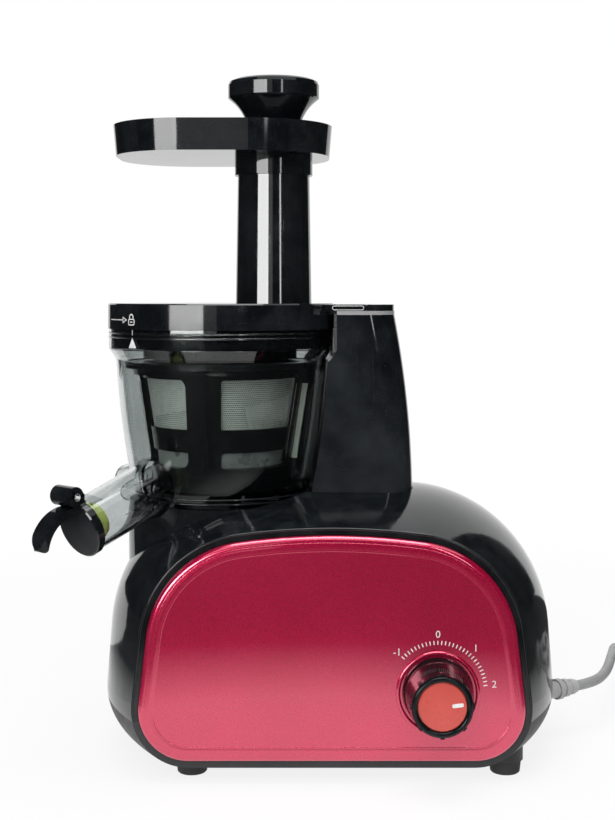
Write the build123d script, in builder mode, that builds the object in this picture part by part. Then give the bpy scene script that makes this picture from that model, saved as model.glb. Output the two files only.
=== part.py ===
"""Upright slow juicer: a loaf-shaped motor base that carries a clear juicing bowl beside a lock tower."""

import os
from math import cos, pi, radians, sin, sqrt, tan

from build123d import *

os.makedirs("parts", exist_ok=True)

# Driving dimensions, in millimetres and degrees

# Frame: the origin is on the floor under the middle of the whole object
base_x = 5.0
axis_y = 15.0
bowl_offset = 68.3

# Gaps and walls
slip = 0.3
run = 0.05
sheet = 3.0
edge = 0.8

# Base housing: a rounded outline at the front and back, swelling to the middle
base_half_depth = 85.0
seam_rise = 26.2
end_half_low = 118.7
end_half_high = 105.3
end_shoulder = 132.4
end_crown = 146.0
end_low_r = 33.0
end_high_r = 66.0
mid_half_low = 141.5
mid_half_high = 130.5
mid_shoulder = 155.0
mid_crown = 160.5
mid_low_r = 30.0
mid_high_r = 88.0

# Front panel
panel_rim = 4.0
panel_sunk = 2.5
panel_proud = 3.5
panel_round = 3.3
ring_r = 23.4
ring_width = 1.6
ring_height = 0.6

# Feet and screws
foot_height = 7.8
foot_r = 9.5
foot_taper = 6.0
foot_left = 81.5
foot_right = 102.0
foot_y = 64.0
boss_drop = 1.0
boss_rim = 1.0
boss_height = 14.0
post_r = 5.0
post_x = 88.0
post_y = 46.0
screw_r = 1.8
screw_head_r = 3.6
screw_head = 2.6
screw_sunk = 0.6
screw_bite = 12.0

# Bowl seat
seat_sink = 8.5
seat_floor = 8.0
seat_margin = 2.6
seat_gap = 1.2
pedestal_waist = 0.8
pedestal_height = 56.0

# Lock tower
tower_front = 29.0
tower_back = 40.0
tower_sink = 3.5
tower_foot_x = 51.6
tower_belt_x = 48.5
tower_top_x = 40.4
tower_left_x = -25.0
tower_round = 18.0
trim_height = 2.4
cap_height = 3.9
tower_gap = 1.2
lock_width = 14.0
lock_depth = 12.0
lock_height = 16.0

# Bowl: its low radius, the flares above it, and heights above the seat
bowl_wall = 2.5
bowl_low_r = 56.0
bowl_draw = 2.4
belly_flare = 6.4
neck_flare = 3.8
rim_flare = 4.4
bowl_floor = 3.0
bowl_recess = 3.5
bowl_low = 8.0
bowl_belly = 48.0
bowl_neck = 87.5
bowl_rim = 94.6
bowl_height = 106.6
hole_gap = 2.5

# Spouts of the bowl
juice_turn = 227.5
juice_drop = 19.2
juice_out = 52.3
juice_below = 5.3
juice_r = 16.0
pulp_turn = 138.0
pulp_drop = 17.0
pulp_out = 32.0
pulp_above = 0.5
pulp_r = 13.0
spout_wall = 2.0
spout_depth = 62.0
trough_gap = 2.0

# Flip cap of the juice spout
cap_over = 1.0
cap_thick = 5.5
cap_gap = 0.5
hinge_rise = 6.0
hinge_out = 7.0
hinge_pin_r = 2.5
barrel_r = 5.8
barrel_half = 8.0
lug_thick = 2.2
seal_gap = 0.4
seal_depth = 9.0
seal_taper = 22.0
seal_wall = 3.2
lever_half = 6.2
lever_thick = 4.2
lever_arch = 18.0
lever_tip = 2.5
lever_reach = 34.0
lever_round = 5.2

# Lid, chute, tray and pusher
lid_over = 0.6
lid_rise = 15.7
lid_plate = 3.0
lid_wall = 2.6
chute_offset = 33.0
chute_bore_r = 20.5
chute_wall = 2.0
chute_draft = 1.5
chute_height = 91.9
ear_drop = 7.0
ear_height = 3.2
ear_depth = 10.0
ear_reach = 25.0
ear_round = 4.0
tray_height = 19.1
tray_floor = 2.6
tray_wall = 2.6
tray_left = 100.3
tray_right = 36.9
tray_front = 53.0
tray_back = 63.0
tray_end_r = 51.0
tray_corner_r = 47.0
tray_taper = 5.0
collar_drop = 11.5
collar_wall = 1.6
pusher_gap = 0.45
pusher_depth = 54.2
pusher_step = 2.45
pusher_wall = 2.2
pusher_neck = 3.7
pusher_flare = 14.0
pusher_rim_r = 28.8
pusher_rim = 12.0
pusher_skin = 3.0

# Strainer, brush and auger
screen_rise = 13.5
screen_height = 59.0
screen_low_gap = 15.5
screen_top_gap = 12.9
screen_thick = 0.8
frame_thick = 1.8
flange_gap = 3.2
flange_thick = 3.5
flange_rest = 3.0
strainer_plate = 3.5
strainer_hole_r = 13.5
band_rise = 12.0
band_width = 14.0
window_count = 4
window_first = 310.0
window_share = 0.82
brush_gap = 1.2
brush_thick = 3.0
brush_arms = 4
brush_first = -14.0
brush_open_low = 0.60
brush_open_top = 0.625
brush_disc = 2.6
brush_lift = 1.2
brush_hoop = 2.6
blade_thick = 2.0
blade_out = 3.0
auger_gap = 1.0
auger_core_r = 12.0
auger_root_r = 21.0
flight_thick = 4.2
flight_pitch = 44.0
flight_count = 2
pin_r = 4.0
pin_height = 16.0
hub_wall = 4.5

# Gears: the brush train in the bowl and the two-stage reduction in the base
brush_module = 1.0
sun_teeth = 20
idler_teeth = 15
idler_pin_r = 3.0
ring_wall = 4.0
brush_gear_width = 6.0
drive_module = 1.25
pinion_teeth = 12
wheel_teeth = 48
gear_width = 8.0
gear_step = 13.0
gear_clear = 3.0
plate_thick = 4.0
plate_margin = 6.0
shaft_r = 6.0
hex_flats = 10.0
hex_length = 19.5
counter_r = 4.0
motor_shaft_r = 3.0
motor_shaft_in = 20.0
motor_r = 38.0
motor_lift = 9.7

# Control knob
knob_x = 60.5
knob_z = 52.5
knob_low_r = 20.5
knob_top_r = 17.2
knob_depth = 27.0
knob_gap = 0.6
knob_ribs = 8
rib_proud = 0.7
rib_width = 2.4
face_r = 13.6
face_thick = 2.0
face_proud = 0.6
spindle_r = 3.0
spindle_in = 14.0
switch_size = 30.0
switch_depth = 22.0

# Control board
board_x = 78.0
board_size = 50.0
board_lift = 8.0
board_thick = 1.6
board_post_r = 2.5
board_margin = 4.0
block_height = 14.0

# Mains lead
lead_r = 3.25
gland_z = 29.0
gland_turn = 30.0
gland_in = 14.0
gland_reach = 22.0
gland_neck_r = 5.2
gland_rib_r = 6.4
coil_outer_r = 42.8
coil_step = 7.4
coil_turns = 2
coil_layer = 7.2
coil_x = 273.5
coil_y = 195.0
tie_thick = 0.7
tie_width = 12.0
plug_neck = 12.0
plug_flare = 14.0
plug_length = 46.0
blade_gap = 12.7
blade_length = 16.0

# Places, heights and radii that follow from the dimensions
bowl_x = base_x - bowl_offset
base_low = foot_height + boss_drop
floor_in = base_low + sheet
seam_z = base_low + seam_rise
foot_spots = ((-foot_left, -foot_y), (foot_right, -foot_y), (-foot_left, foot_y), (foot_right, foot_y))
post_spots = ((-post_x, -post_y), (post_x, -post_y), (-post_x, post_y), (post_x, post_y))
panel_back_y = axis_y - base_half_depth + panel_sunk
panel_front_y = axis_y - base_half_depth - panel_proud

seat_z = mid_crown - seat_sink
seat_under = seat_z - seat_floor
pedestal_r = bowl_low_r + seat_margin
pedestal_low = seat_z - pedestal_height

bowl_foot_r = bowl_low_r - bowl_draw
bowl_belly_r = bowl_low_r + belly_flare
bowl_neck_r = bowl_belly_r + neck_flare
bowl_rim_r = bowl_neck_r + rim_flare
juice_reach = bowl_low_r + juice_out
pulp_reach = bowl_low_r + pulp_out
bowl_low_z = seat_z + bowl_low
bowl_belly_z = seat_z + bowl_belly
bowl_neck_z = seat_z + bowl_neck
bowl_rim_z = seat_z + bowl_rim
bowl_top = seat_z + bowl_height
floor_low = seat_z + bowl_recess
floor_top = floor_low + bowl_floor
hole_r = shaft_r + hole_gap

lid_r = bowl_rim_r + lid_over
lid_top = bowl_top + lid_rise
lid_under = lid_top - lid_plate
chute_x = bowl_x + chute_offset
chute_top = lid_top + chute_height
chute_top_r = chute_bore_r + chute_wall
chute_low_r = chute_top_r + chute_draft
tray_top = chute_top + tray_height
pusher_r = chute_bore_r - pusher_gap
pusher_low = chute_top - pusher_depth
pusher_neck_r = pusher_r - pusher_step
pusher_neck_z = tray_top + pusher_neck
pusher_rim_z = pusher_neck_z + pusher_flare
pusher_top = pusher_rim_z + pusher_rim

tower_foot = mid_crown - tower_sink
tower_top = lid_top - ear_drop
cap_low = tower_top + trim_height
cap_top = cap_low + cap_height

screen_low = floor_top + screen_rise
screen_top = screen_low + screen_height
screen_low_r = bowl_low_r - bowl_wall - screen_low_gap
screen_top_r = bowl_belly_r - bowl_wall - screen_top_gap
band_low = screen_low + band_rise
band_top = band_low + band_width
flange_r = bowl_neck_r - bowl_wall - flange_gap
flange_low = screen_top + slip + flange_rest
flange_top = flange_low + flange_thick
frame_out = screen_thick + frame_thick
cage_in = frame_out + brush_gap
cage_out = cage_in + brush_thick
brush_top = flange_low - brush_gap

mesh_centre = brush_module * (sun_teeth + idler_teeth) / 2
ring_teeth = sun_teeth + 2 * idler_teeth
ring_pitch_r = brush_module * ring_teeth / 2
ring_out_r = ring_pitch_r + ring_wall
train_low = floor_top + brush_lift
train_top = train_low + brush_gear_width
shaft_end = floor_top + hex_length

wheel_r = drive_module * wheel_teeth / 2
drive_centre = drive_module * (pinion_teeth + wheel_teeth) / 2
counter_x = bowl_x + drive_centre
motor_x = counter_x + drive_centre
cover_low = seat_under - gear_clear - plate_thick
wheel_low = cover_low - gear_clear - gear_width
gear_low = wheel_low - gear_step
gear_floor = gear_low - gear_clear - plate_thick
motor_low = floor_in + motor_lift


def level(x, z):
    """Level plane at height z on the upright axis at x."""
    return Plane((x, axis_y, z))


def upright(x):
    """Upright section plane through the axis at x: radius to the right, height up."""
    return Plane((x, axis_y, 0), x_dir=(1, 0, 0), z_dir=(0, -1, 0))


def upright_axis(x):
    return Axis((x, axis_y, 0), (0, 0, 1))


def loaf_face(depth, half_low, half_high, shoulder, crown, r_low, r_high, inset):
    """Outline of the base on one upright plane, drawn in by inset."""
    plane = Plane((base_x, axis_y + depth, 0), x_dir=(1, 0, 0), z_dir=(0, -1, 0))
    a = half_low - inset
    b = half_high - inset
    low = base_low + inset
    side = shoulder - inset
    with BuildSketch(plane) as face:
        with BuildLine():
            Polyline((-b, side), (-a, low), (a, low), (b, side))
            ThreePointArc((b, side), (0, crown - inset), (-b, side))
        make_face()
        fillet(face.vertices().group_by(Axis.Y)[0], r_low - inset)
        fillet(face.vertices().group_by(Axis.Y)[-1], r_high - inset)
    return face.sketch


def end_face(depth, inset):
    return loaf_face(depth, end_half_low, end_half_high, end_shoulder, end_crown,
                     end_low_r, end_high_r, inset)


def loaf_faces(inset, shorter):
    """The three outlines that a base shell is lofted through."""
    middle = loaf_face(0, mid_half_low, mid_half_high, mid_shoulder, mid_crown,
                       mid_low_r, mid_high_r, inset)
    reach = base_half_depth - shorter
    return [end_face(-reach, inset), middle, end_face(reach, inset)]


def bowl_shell(offset, top):
    """Half outline of the bowl and lid, swollen by offset, as a closed face to turn."""
    with BuildSketch(upright(bowl_x)) as face:
        with BuildLine():
            Polyline((0, top), (0, seat_z - offset), (bowl_foot_r + offset, seat_z - offset),
                     (bowl_low_r + offset, bowl_low_z))
            ThreePointArc((bowl_low_r + offset, bowl_low_z), (bowl_belly_r + offset, bowl_belly_z),
                          (bowl_neck_r + offset, bowl_neck_z - offset))
            Polyline((bowl_neck_r + offset, bowl_neck_z - offset), (lid_r + offset, bowl_rim_z - offset),
                     (lid_r + offset, top), (0, top))
        make_face()
    return face.sketch


def tower_face(z, right, inset):
    """Plan of the tower at one height, drawn in by inset."""
    x = right - inset
    front = -tower_front + inset
    back = tower_back - inset
    with BuildSketch(Plane((base_x, axis_y, z))) as face:
        with BuildLine():
            Polyline((tower_left_x, front), (x, front), (x, back), (tower_left_x, back), close=True)
        make_face()
        fillet(face.vertices().group_by(Axis.X)[-1], tower_round - inset)
    return face.sketch


def tower_side(inset):
    """Front view of the tower, whose outer edge is an arc through the foot, belt and top."""
    middle = (tower_foot + tower_top) / 2
    plane = Plane((base_x, axis_y + tower_back - inset, 0), x_dir=(1, 0, 0), z_dir=(0, -1, 0))
    with BuildSketch(plane) as face:
        with BuildLine():
            Polyline((tower_top_x - inset, tower_top), (tower_left_x, tower_top), (tower_left_x, tower_foot),
                     (tower_foot_x - inset, tower_foot))
            ThreePointArc((tower_foot_x - inset, tower_foot), (tower_belt_x - inset, middle),
                          (tower_top_x - inset, tower_top))
        make_face()
    return face.sketch


def spout_plane(turn, drop, reach, height):
    """Mouth plane of a spout: its normal points out of the mouth and its y axis up."""
    t = radians(turn)
    d = radians(drop)
    out = (cos(t) * cos(d), sin(t) * cos(d), -sin(d))
    place = (bowl_x + reach * cos(t), axis_y + reach * sin(t), height)
    return Plane(place, x_dir=(-sin(t), cos(t), 0), z_dir=out)


def side_plane(mouth, x):
    """Plane across a spout at x: its x axis is the spout's up, its y axis points out of the mouth."""
    return Plane(mouth.from_local_coords(Vector(x, 0, 0)), x_dir=mouth.y_dir, z_dir=mouth.x_dir)


def tooth_ring(teeth, low_r, high_r, low_share, high_share, phase):
    """Points round a toothed outline; the shares are tooth widths over the pitch."""
    points = []
    pitch = 2 * pi / teeth
    for i in range(teeth):
        middle = phase + i * pitch
        for r, turn in ((low_r, -low_share), (high_r, -high_share), (high_r, high_share), (low_r, low_share)):
            angle = middle + turn * pitch / 2
            points.append((r * cos(angle), r * sin(angle)))
    return points


def gear_points(teeth, module, phase=0.0):
    pitch_r = teeth * module / 2
    return tooth_ring(teeth, pitch_r - 1.2 * module, pitch_r + 0.85 * module, 0.58, 0.2, phase)


def screen_r(z):
    """Inner radius of the strainer's screen at height z."""
    return screen_low_r + (z - screen_low) * (screen_top_r - screen_low_r) / (screen_top - screen_low)


def cone_ring(z_low, z_top, inside, outside):
    """Closed face between two lines that run beside the screen."""
    with BuildSketch(upright(bowl_x)) as face:
        with BuildLine():
            Polyline((screen_r(z_low) + inside, z_low), (screen_r(z_low) + outside, z_low),
                     (screen_r(z_top) + outside, z_top), (screen_r(z_top) + inside, z_top), close=True)
        make_face()
    return face.sketch


def facing(turn):
    """Upright plane through the bowl axis that faces out in the direction turn."""
    t = radians(turn)
    return Plane((bowl_x, axis_y, 0), x_dir=(-sin(t), cos(t), 0), z_dir=(cos(t), sin(t), 0))


def radial(turn):
    """Upright plane along a radius: its x axis points out, its y axis up."""
    t = radians(turn)
    return Plane((bowl_x, axis_y, 0), x_dir=(cos(t), sin(t), 0), z_dir=(sin(t), -cos(t), 0))


def window_face(turn, z_low, z_top, half_low, half_top, corner):
    """Rounded window of a cage, seen from outside, to be cut out along the radius."""
    with BuildSketch(facing(turn)) as face:
        with BuildLine():
            Polyline((-half_low, z_low), (half_low, z_low), (half_top, z_top), (-half_top, z_top), close=True)
        make_face()
        fillet(face.vertices(), corner)
    return face.sketch


# Base: upper housing, bottom cover, front panel, feet and screws

with BuildPart() as loaf:
    loft(loaf_faces(0, 0))

with BuildPart() as base_void:
    loft(loaf_faces(sheet, sheet + panel_sunk))
    with BuildSketch(level(bowl_x, pedestal_low)):
        Circle(pedestal_r - pedestal_waist - sheet)
    extrude(amount=seat_under - pedestal_low)
    with BuildSketch(level(bowl_x, seat_under)):
        Circle(pedestal_r + sheet)
    extrude(amount=mid_crown, mode=Mode.SUBTRACT)
    extrude(tower_face(tower_foot - sheet, tower_foot_x, -sheet), amount=mid_crown, mode=Mode.SUBTRACT)
    with BuildSketch(Plane((base_x, axis_y, 0))):
        with Locations(*post_spots):
            Circle(post_r)
    extrude(amount=mid_crown, mode=Mode.SUBTRACT)

juice_mouth = spout_plane(juice_turn, juice_drop, juice_reach, seat_z - juice_below)
pulp_mouth = spout_plane(pulp_turn, pulp_drop, pulp_reach, seat_z + pulp_above)
knob_plane = Plane((base_x + knob_x, panel_front_y, knob_z), x_dir=(1, 0, 0), z_dir=(0, -1, 0))
gland_way = (cos(radians(gland_turn)), sin(radians(gland_turn)), 0)
gland_plane = Plane((base_x + mid_half_low - sheet, axis_y, gland_z), x_dir=(0, 0, 1), z_dir=gland_way)

with BuildPart() as base_housing:
    add(loaf.part)
    with BuildSketch(level(bowl_x, pedestal_low)):
        Circle(pedestal_r - pedestal_waist)
    with BuildSketch(level(bowl_x, seat_z)):
        Circle(pedestal_r)
    loft()
    split(bisect_by=Plane.XY.offset(seam_z), keep=Keep.TOP)
    add(base_void.part, mode=Mode.SUBTRACT)
    with BuildSketch(level(bowl_x, seat_z)):
        Circle(pedestal_r + seat_gap)
    extrude(amount=mid_crown, mode=Mode.SUBTRACT)
    extrude(tower_face(tower_foot, tower_foot_x, -slip), amount=mid_crown, mode=Mode.SUBTRACT)
    with BuildSketch(level(bowl_x, seat_z)):
        Circle(shaft_r + sheet)
    extrude(amount=-2 * seat_floor, mode=Mode.SUBTRACT)
    for mouth, spout_r in ((juice_mouth, juice_r), (pulp_mouth, pulp_r)):
        with BuildSketch(mouth):
            Circle(spout_r + trough_gap)
        extrude(amount=-spout_depth - trough_gap, mode=Mode.SUBTRACT)
    extrude(end_face(-base_half_depth, panel_rim - slip), amount=-panel_sunk, mode=Mode.SUBTRACT)
    with BuildSketch(knob_plane):
        Circle(spindle_r + run)
    extrude(amount=-3 * sheet - panel_proud, mode=Mode.SUBTRACT)
    with BuildSketch(Plane((base_x, axis_y, seam_z))):
        with Locations(*post_spots):
            Circle(screw_r)
    extrude(amount=screw_bite, mode=Mode.SUBTRACT)
base_housing.part.label = "base_housing"
export_step(base_housing.part, "parts/base_housing.step")

with BuildPart() as seat_pad:
    with BuildSketch(level(bowl_x, seat_z)):
        Circle(bowl_foot_r - bowl_wall - slip)
        Circle(shaft_r + sheet, mode=Mode.SUBTRACT)
    extrude(amount=bowl_recess - slip)
    for mouth, spout_r in ((juice_mouth, juice_r), (pulp_mouth, pulp_r)):
        with BuildSketch(mouth):
            Circle(spout_r + trough_gap)
        extrude(amount=-spout_depth - trough_gap, mode=Mode.SUBTRACT)
seat_pad.part.label = "seat_pad"
export_step(seat_pad.part, "parts/seat_pad.step")

with BuildPart() as bottom_cover:
    add(loaf.part)
    split(bisect_by=Plane.XY.offset(seam_z), keep=Keep.BOTTOM)
    add(base_void.part, mode=Mode.SUBTRACT)
    with BuildSketch(Plane((base_x, axis_y, foot_height))):
        with Locations(*foot_spots):
            Circle(foot_r + boss_rim)
    extrude(amount=boss_height)
    with BuildSketch(level(motor_x, floor_in)):
        with PolarLocations(motor_r - 1.5 * post_r, 3):
            Circle(post_r)
    extrude(amount=motor_lift)
    with BuildSketch(level(base_x + board_x, floor_in)):
        with GridLocations(board_size - 2 * board_margin, board_size - 2 * board_margin, 2, 2):
            Circle(board_post_r)
    extrude(amount=board_lift)
    extrude(end_face(-base_half_depth, panel_rim - slip), amount=-panel_sunk, mode=Mode.SUBTRACT)
    with BuildSketch(Plane((base_x, axis_y, base_low))):
        with Locations(*post_spots):
            Circle(screw_r)
    extrude(amount=seam_z, mode=Mode.SUBTRACT)
    with BuildSketch(Plane((base_x, axis_y, base_low))):
        with Locations(*post_spots):
            Circle(screw_head_r + slip)
    extrude(amount=screw_head, mode=Mode.SUBTRACT)
    with BuildSketch(gland_plane):
        Circle(gland_neck_r)
    extrude(amount=gland_in, both=True, mode=Mode.SUBTRACT)
bottom_cover.part.label = "bottom_cover"
export_step(bottom_cover.part, "parts/bottom_cover.step")

with BuildPart() as base_screws:
    with BuildSketch(Plane((base_x, axis_y, base_low + screw_head))):
        with Locations(*post_spots):
            Circle(screw_r)
    extrude(amount=seam_z + screw_bite - base_low - screw_head)
    with BuildSketch(Plane((base_x, axis_y, base_low + screw_head))):
        with Locations(*post_spots):
            Circle(screw_head_r)
    extrude(amount=screw_sunk - screw_head)
base_screws.part.label = "base_screws"
export_step(base_screws.part, "parts/base_screws.step")

with BuildPart() as front_panel:
    extrude(end_face(-base_half_depth + panel_sunk, panel_rim), amount=panel_sunk + panel_proud)
    fillet(front_panel.faces().sort_by(Axis.Y)[0].edges(), panel_round)
    with BuildSketch(knob_plane):
        Circle(ring_r)
        Circle(ring_r - ring_width, mode=Mode.SUBTRACT)
    extrude(amount=ring_height)
    with BuildSketch(knob_plane):
        Circle(spindle_r + run)
    extrude(amount=-panel_sunk - panel_proud, mode=Mode.SUBTRACT)
front_panel.part.label = "front_panel"
export_step(front_panel.part, "parts/front_panel.step")

foot_low_r = foot_r - foot_height * tan(radians(foot_taper))

for number, (x, y) in enumerate(foot_spots, 1):
    with BuildPart() as foot:
        with BuildSketch(Plane((base_x + x, axis_y + y, 0), x_dir=(1, 0, 0), z_dir=(0, -1, 0))):
            with BuildLine():
                Polyline((0, foot_height), (foot_r, foot_height), (foot_low_r, edge), (foot_low_r - edge, 0),
                         (0, 0), close=True)
            make_face()
        revolve(axis=Axis((base_x + x, axis_y + y, 0), (0, 0, 1)))
    foot.part.label = f"foot_{number}"
    export_step(foot.part, f"parts/foot_{number}.step")

# Lock tower: shell, bright trim line and cap with the notch for the lid's ear

with BuildPart() as tower_room:
    revolve(bowl_shell(tower_gap, cap_top + sheet), axis=upright_axis(bowl_x))
    extrude(bowl_shell(tower_gap, cap_top + sheet), amount=2 * tower_front)

with BuildPart() as tower_back_room:
    revolve(bowl_shell(tower_gap + sheet, cap_top + sheet), axis=upright_axis(bowl_x))
    extrude(bowl_shell(tower_gap + sheet, cap_top + sheet), amount=2 * tower_front)

with BuildPart() as tower_void:
    extrude(tower_side(sheet), amount=tower_front + tower_back - 2 * sheet)
    long_edges = tower_void.faces().sort_by(Axis.X)[-1].edges().filter_by(Axis.Y, reverse=True)
    fillet(long_edges, tower_round - sheet)
    add(tower_back_room.part, mode=Mode.SUBTRACT)

with BuildPart() as tower_shell:
    extrude(tower_side(0), amount=tower_front + tower_back)
    long_edges = tower_shell.faces().sort_by(Axis.X)[-1].edges().filter_by(Axis.Y, reverse=True)
    fillet(long_edges, tower_round)
    add(tower_room.part, mode=Mode.SUBTRACT)
    add(tower_void.part, mode=Mode.SUBTRACT)
tower_shell.part.label = "tower_shell"
export_step(tower_shell.part, "parts/tower_shell.step")

ear_front_y = axis_y - tower_front + slip
ear_back_y = ear_front_y + ear_depth


def ear_face(z, grow):
    """Plan of the lid's ear, from the lid's edge to its rounded end."""
    left = bowl_x + lid_r - 1.5 * ear_depth
    right = base_x + ear_reach + grow
    with BuildSketch(Plane((0, 0, z))) as face:
        with BuildLine():
            Polyline((left, ear_front_y - 2 * grow), (right, ear_front_y - 2 * grow),
                     (right, ear_back_y + grow), (left, ear_back_y + grow), close=True)
        make_face()
        fillet(face.vertices().group_by(Axis.X)[-1].sort_by(Axis.Y)[-1], ear_round)
    return face.sketch


with BuildPart() as tower_trim:
    extrude(tower_face(tower_top, tower_top_x, 0), amount=trim_height)
    add(tower_room.part, mode=Mode.SUBTRACT)
tower_trim.part.label = "tower_trim"
export_step(tower_trim.part, "parts/tower_trim.step")

with BuildPart() as tower_cap:
    extrude(tower_face(cap_low, tower_top_x - slip, 0), amount=cap_height)
    add(tower_room.part, mode=Mode.SUBTRACT)
    extrude(ear_face(cap_low, slip), amount=2 * cap_height, mode=Mode.SUBTRACT)
tower_cap.part.label = "tower_cap"
export_step(tower_cap.part, "parts/tower_cap.step")

lock_x = bowl_x + lid_r + tower_gap + sheet + slip

with BuildPart() as interlock_switch:
    with Locations((lock_x, axis_y - tower_front + sheet, tower_top)):
        Box(lock_width, lock_depth, lock_height, align=(Align.MIN, Align.MIN, Align.MAX))
interlock_switch.part.label = "interlock_switch"
export_step(interlock_switch.part, "parts/interlock_switch.step")

# Motor and two-stage gear reduction in the base

axes_x = (bowl_x, counter_x, motor_x)
bore_rs = (shaft_r, counter_r, motor_shaft_r)
plate_half = wheel_r + plate_margin

with BuildPart() as motor_can:
    with BuildSketch(level(motor_x, motor_low)):
        Circle(motor_r)
    extrude(amount=gear_floor - motor_low)
    chamfer(motor_can.edges(), sheet)
    with BuildSketch(level(motor_x, gear_floor)):
        Circle(motor_shaft_r + run)
    extrude(amount=-motor_shaft_in, mode=Mode.SUBTRACT)
motor_can.part.label = "motor_can"
export_step(motor_can.part, "parts/motor_can.step")


def gear_plate(z):
    """Plan of a gearbox plate: round at the output, running to the motor."""
    with BuildSketch(level(counter_x, z)) as face:
        SlotCenterToCenter(2 * drive_centre, 2 * plate_half)
        for x, r in zip(axes_x, bore_rs):
            with Locations((x - counter_x, 0)):
                Circle(r + run, mode=Mode.SUBTRACT)
    return face.sketch


with BuildPart() as gearbox_plate:
    extrude(gear_plate(gear_floor), amount=plate_thick)
gearbox_plate.part.label = "gearbox_plate"
export_step(gearbox_plate.part, "parts/gearbox_plate.step")

with BuildPart() as gearbox_cover:
    extrude(gear_plate(cover_low), amount=plate_thick)
    with BuildSketch(level(counter_x, cover_low)):
        SlotCenterToCenter(2 * drive_centre, 2 * plate_half)
        SlotCenterToCenter(2 * drive_centre, 2 * plate_half - 2 * sheet, mode=Mode.SUBTRACT)
    extrude(amount=gear_floor + plate_thick - cover_low)
gearbox_cover.part.label = "gearbox_cover"
export_step(gearbox_cover.part, "parts/gearbox_cover.step")

with BuildPart() as drive_shaft:
    with BuildSketch(level(bowl_x, gear_floor + slip)):
        Circle(shaft_r)
    extrude(amount=floor_top - gear_floor - slip)
    with BuildSketch(level(bowl_x, floor_top)):
        RegularPolygon(hex_flats / 2, 6, major_radius=False)
    extrude(amount=shaft_end - floor_top)
    chamfer(drive_shaft.faces().sort_by(Axis.Z)[-1].edges(), edge)
drive_shaft.part.label = "drive_shaft"
export_step(drive_shaft.part, "parts/drive_shaft.step")

with BuildPart() as output_gear:
    with BuildSketch(level(bowl_x, wheel_low)):
        with BuildLine():
            Polyline(*gear_points(wheel_teeth, drive_module), close=True)
        make_face()
        Circle(shaft_r, mode=Mode.SUBTRACT)
    extrude(amount=gear_width)
    with BuildSketch(level(bowl_x, wheel_low + gear_width / 2)):
        with PolarLocations(0.6 * wheel_r, 6):
            Circle(0.17 * wheel_r)
    extrude(amount=gear_width, both=True, mode=Mode.SUBTRACT)
output_gear.part.label = "output_gear"
export_step(output_gear.part, "parts/output_gear.step")

with BuildPart() as counter_gear:
    with BuildSketch(level(counter_x, gear_floor + slip)):
        Circle(counter_r)
    extrude(amount=cover_low + plate_thick - gear_floor - 2 * slip)
    with BuildSketch(level(counter_x, gear_low)):
        with BuildLine():
            Polyline(*gear_points(wheel_teeth, drive_module), close=True)
        make_face()
    extrude(amount=gear_width)
    with BuildSketch(level(counter_x, gear_low)):
        with BuildLine():
            Polyline(*gear_points(pinion_teeth, drive_module, pi / pinion_teeth), close=True)
        make_face()
    extrude(amount=gear_step + gear_width)
counter_gear.part.label = "counter_gear"
export_step(counter_gear.part, "parts/counter_gear.step")

with BuildPart() as motor_pinion:
    with BuildSketch(level(motor_x, gear_floor - motor_shaft_in + slip)):
        Circle(motor_shaft_r)
    extrude(amount=cover_low + plate_thick - gear_floor + motor_shaft_in - 2 * slip)
    with BuildSketch(level(motor_x, gear_low)):
        with BuildLine():
            Polyline(*gear_points(pinion_teeth, drive_module, pi / pinion_teeth), close=True)
        make_face()
    extrude(amount=gear_width)
motor_pinion.part.label = "motor_pinion"
export_step(motor_pinion.part, "parts/motor_pinion.step")

with BuildPart() as shaft_seal:
    with BuildSketch(level(bowl_x, seat_under)):
        Circle(shaft_r + sheet)
        Circle(shaft_r + run, mode=Mode.SUBTRACT)
    extrude(amount=seat_floor - slip)
shaft_seal.part.label = "shaft_seal"
export_step(shaft_seal.part, "parts/shaft_seal.step")

switch_plane = Plane((base_x + knob_x, panel_back_y + sheet, knob_z), x_dir=(1, 0, 0), z_dir=(0, 1, 0))

with BuildPart() as speed_switch:
    with BuildSketch(switch_plane):
        RectangleRounded(switch_size, switch_size, sheet)
        Circle(spindle_r + run, mode=Mode.SUBTRACT)
    extrude(amount=switch_depth)
speed_switch.part.label = "speed_switch"
export_step(speed_switch.part, "parts/speed_switch.step")

# Control knob

with BuildPart() as control_knob:
    with BuildSketch(knob_plane.offset(knob_gap)):
        Circle(knob_low_r)
    with BuildSketch(knob_plane.offset(knob_depth)):
        Circle(knob_top_r)
    loft()
    with BuildSketch(knob_plane.offset(knob_gap)):
        with PolarLocations(knob_top_r + rib_proud - rib_width / 2, knob_ribs):
            Rectangle(rib_width, rib_width)
    extrude(amount=knob_depth - knob_gap)
    with BuildSketch(knob_plane.offset(knob_depth)):
        Circle(face_r + slip)
    extrude(amount=-face_thick, mode=Mode.SUBTRACT)
    with BuildSketch(knob_plane.offset(knob_gap)):
        Circle(spindle_r)
    extrude(amount=spindle_in, mode=Mode.SUBTRACT)
control_knob.part.label = "control_knob"
export_step(control_knob.part, "parts/control_knob.step")

with BuildPart() as knob_face:
    with BuildSketch(knob_plane.offset(knob_depth - face_thick)):
        Circle(face_r)
    extrude(amount=face_thick + face_proud)
    chamfer(knob_face.faces().sort_by(Axis.Y)[0].edges(), face_proud)
knob_face.part.label = "knob_face"
export_step(knob_face.part, "parts/knob_face.step")

with BuildPart() as knob_spindle:
    with BuildSketch(knob_plane.offset(knob_gap + spindle_in)):
        Circle(spindle_r)
    extrude(amount=-knob_gap - spindle_in - panel_proud - panel_sunk - sheet - switch_depth + edge)
knob_spindle.part.label = "knob_spindle"
export_step(knob_spindle.part, "parts/knob_spindle.step")

# Bowl: clear shell with its two spouts, gasket, strainer

hinge_up = juice_r + hinge_rise

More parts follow.
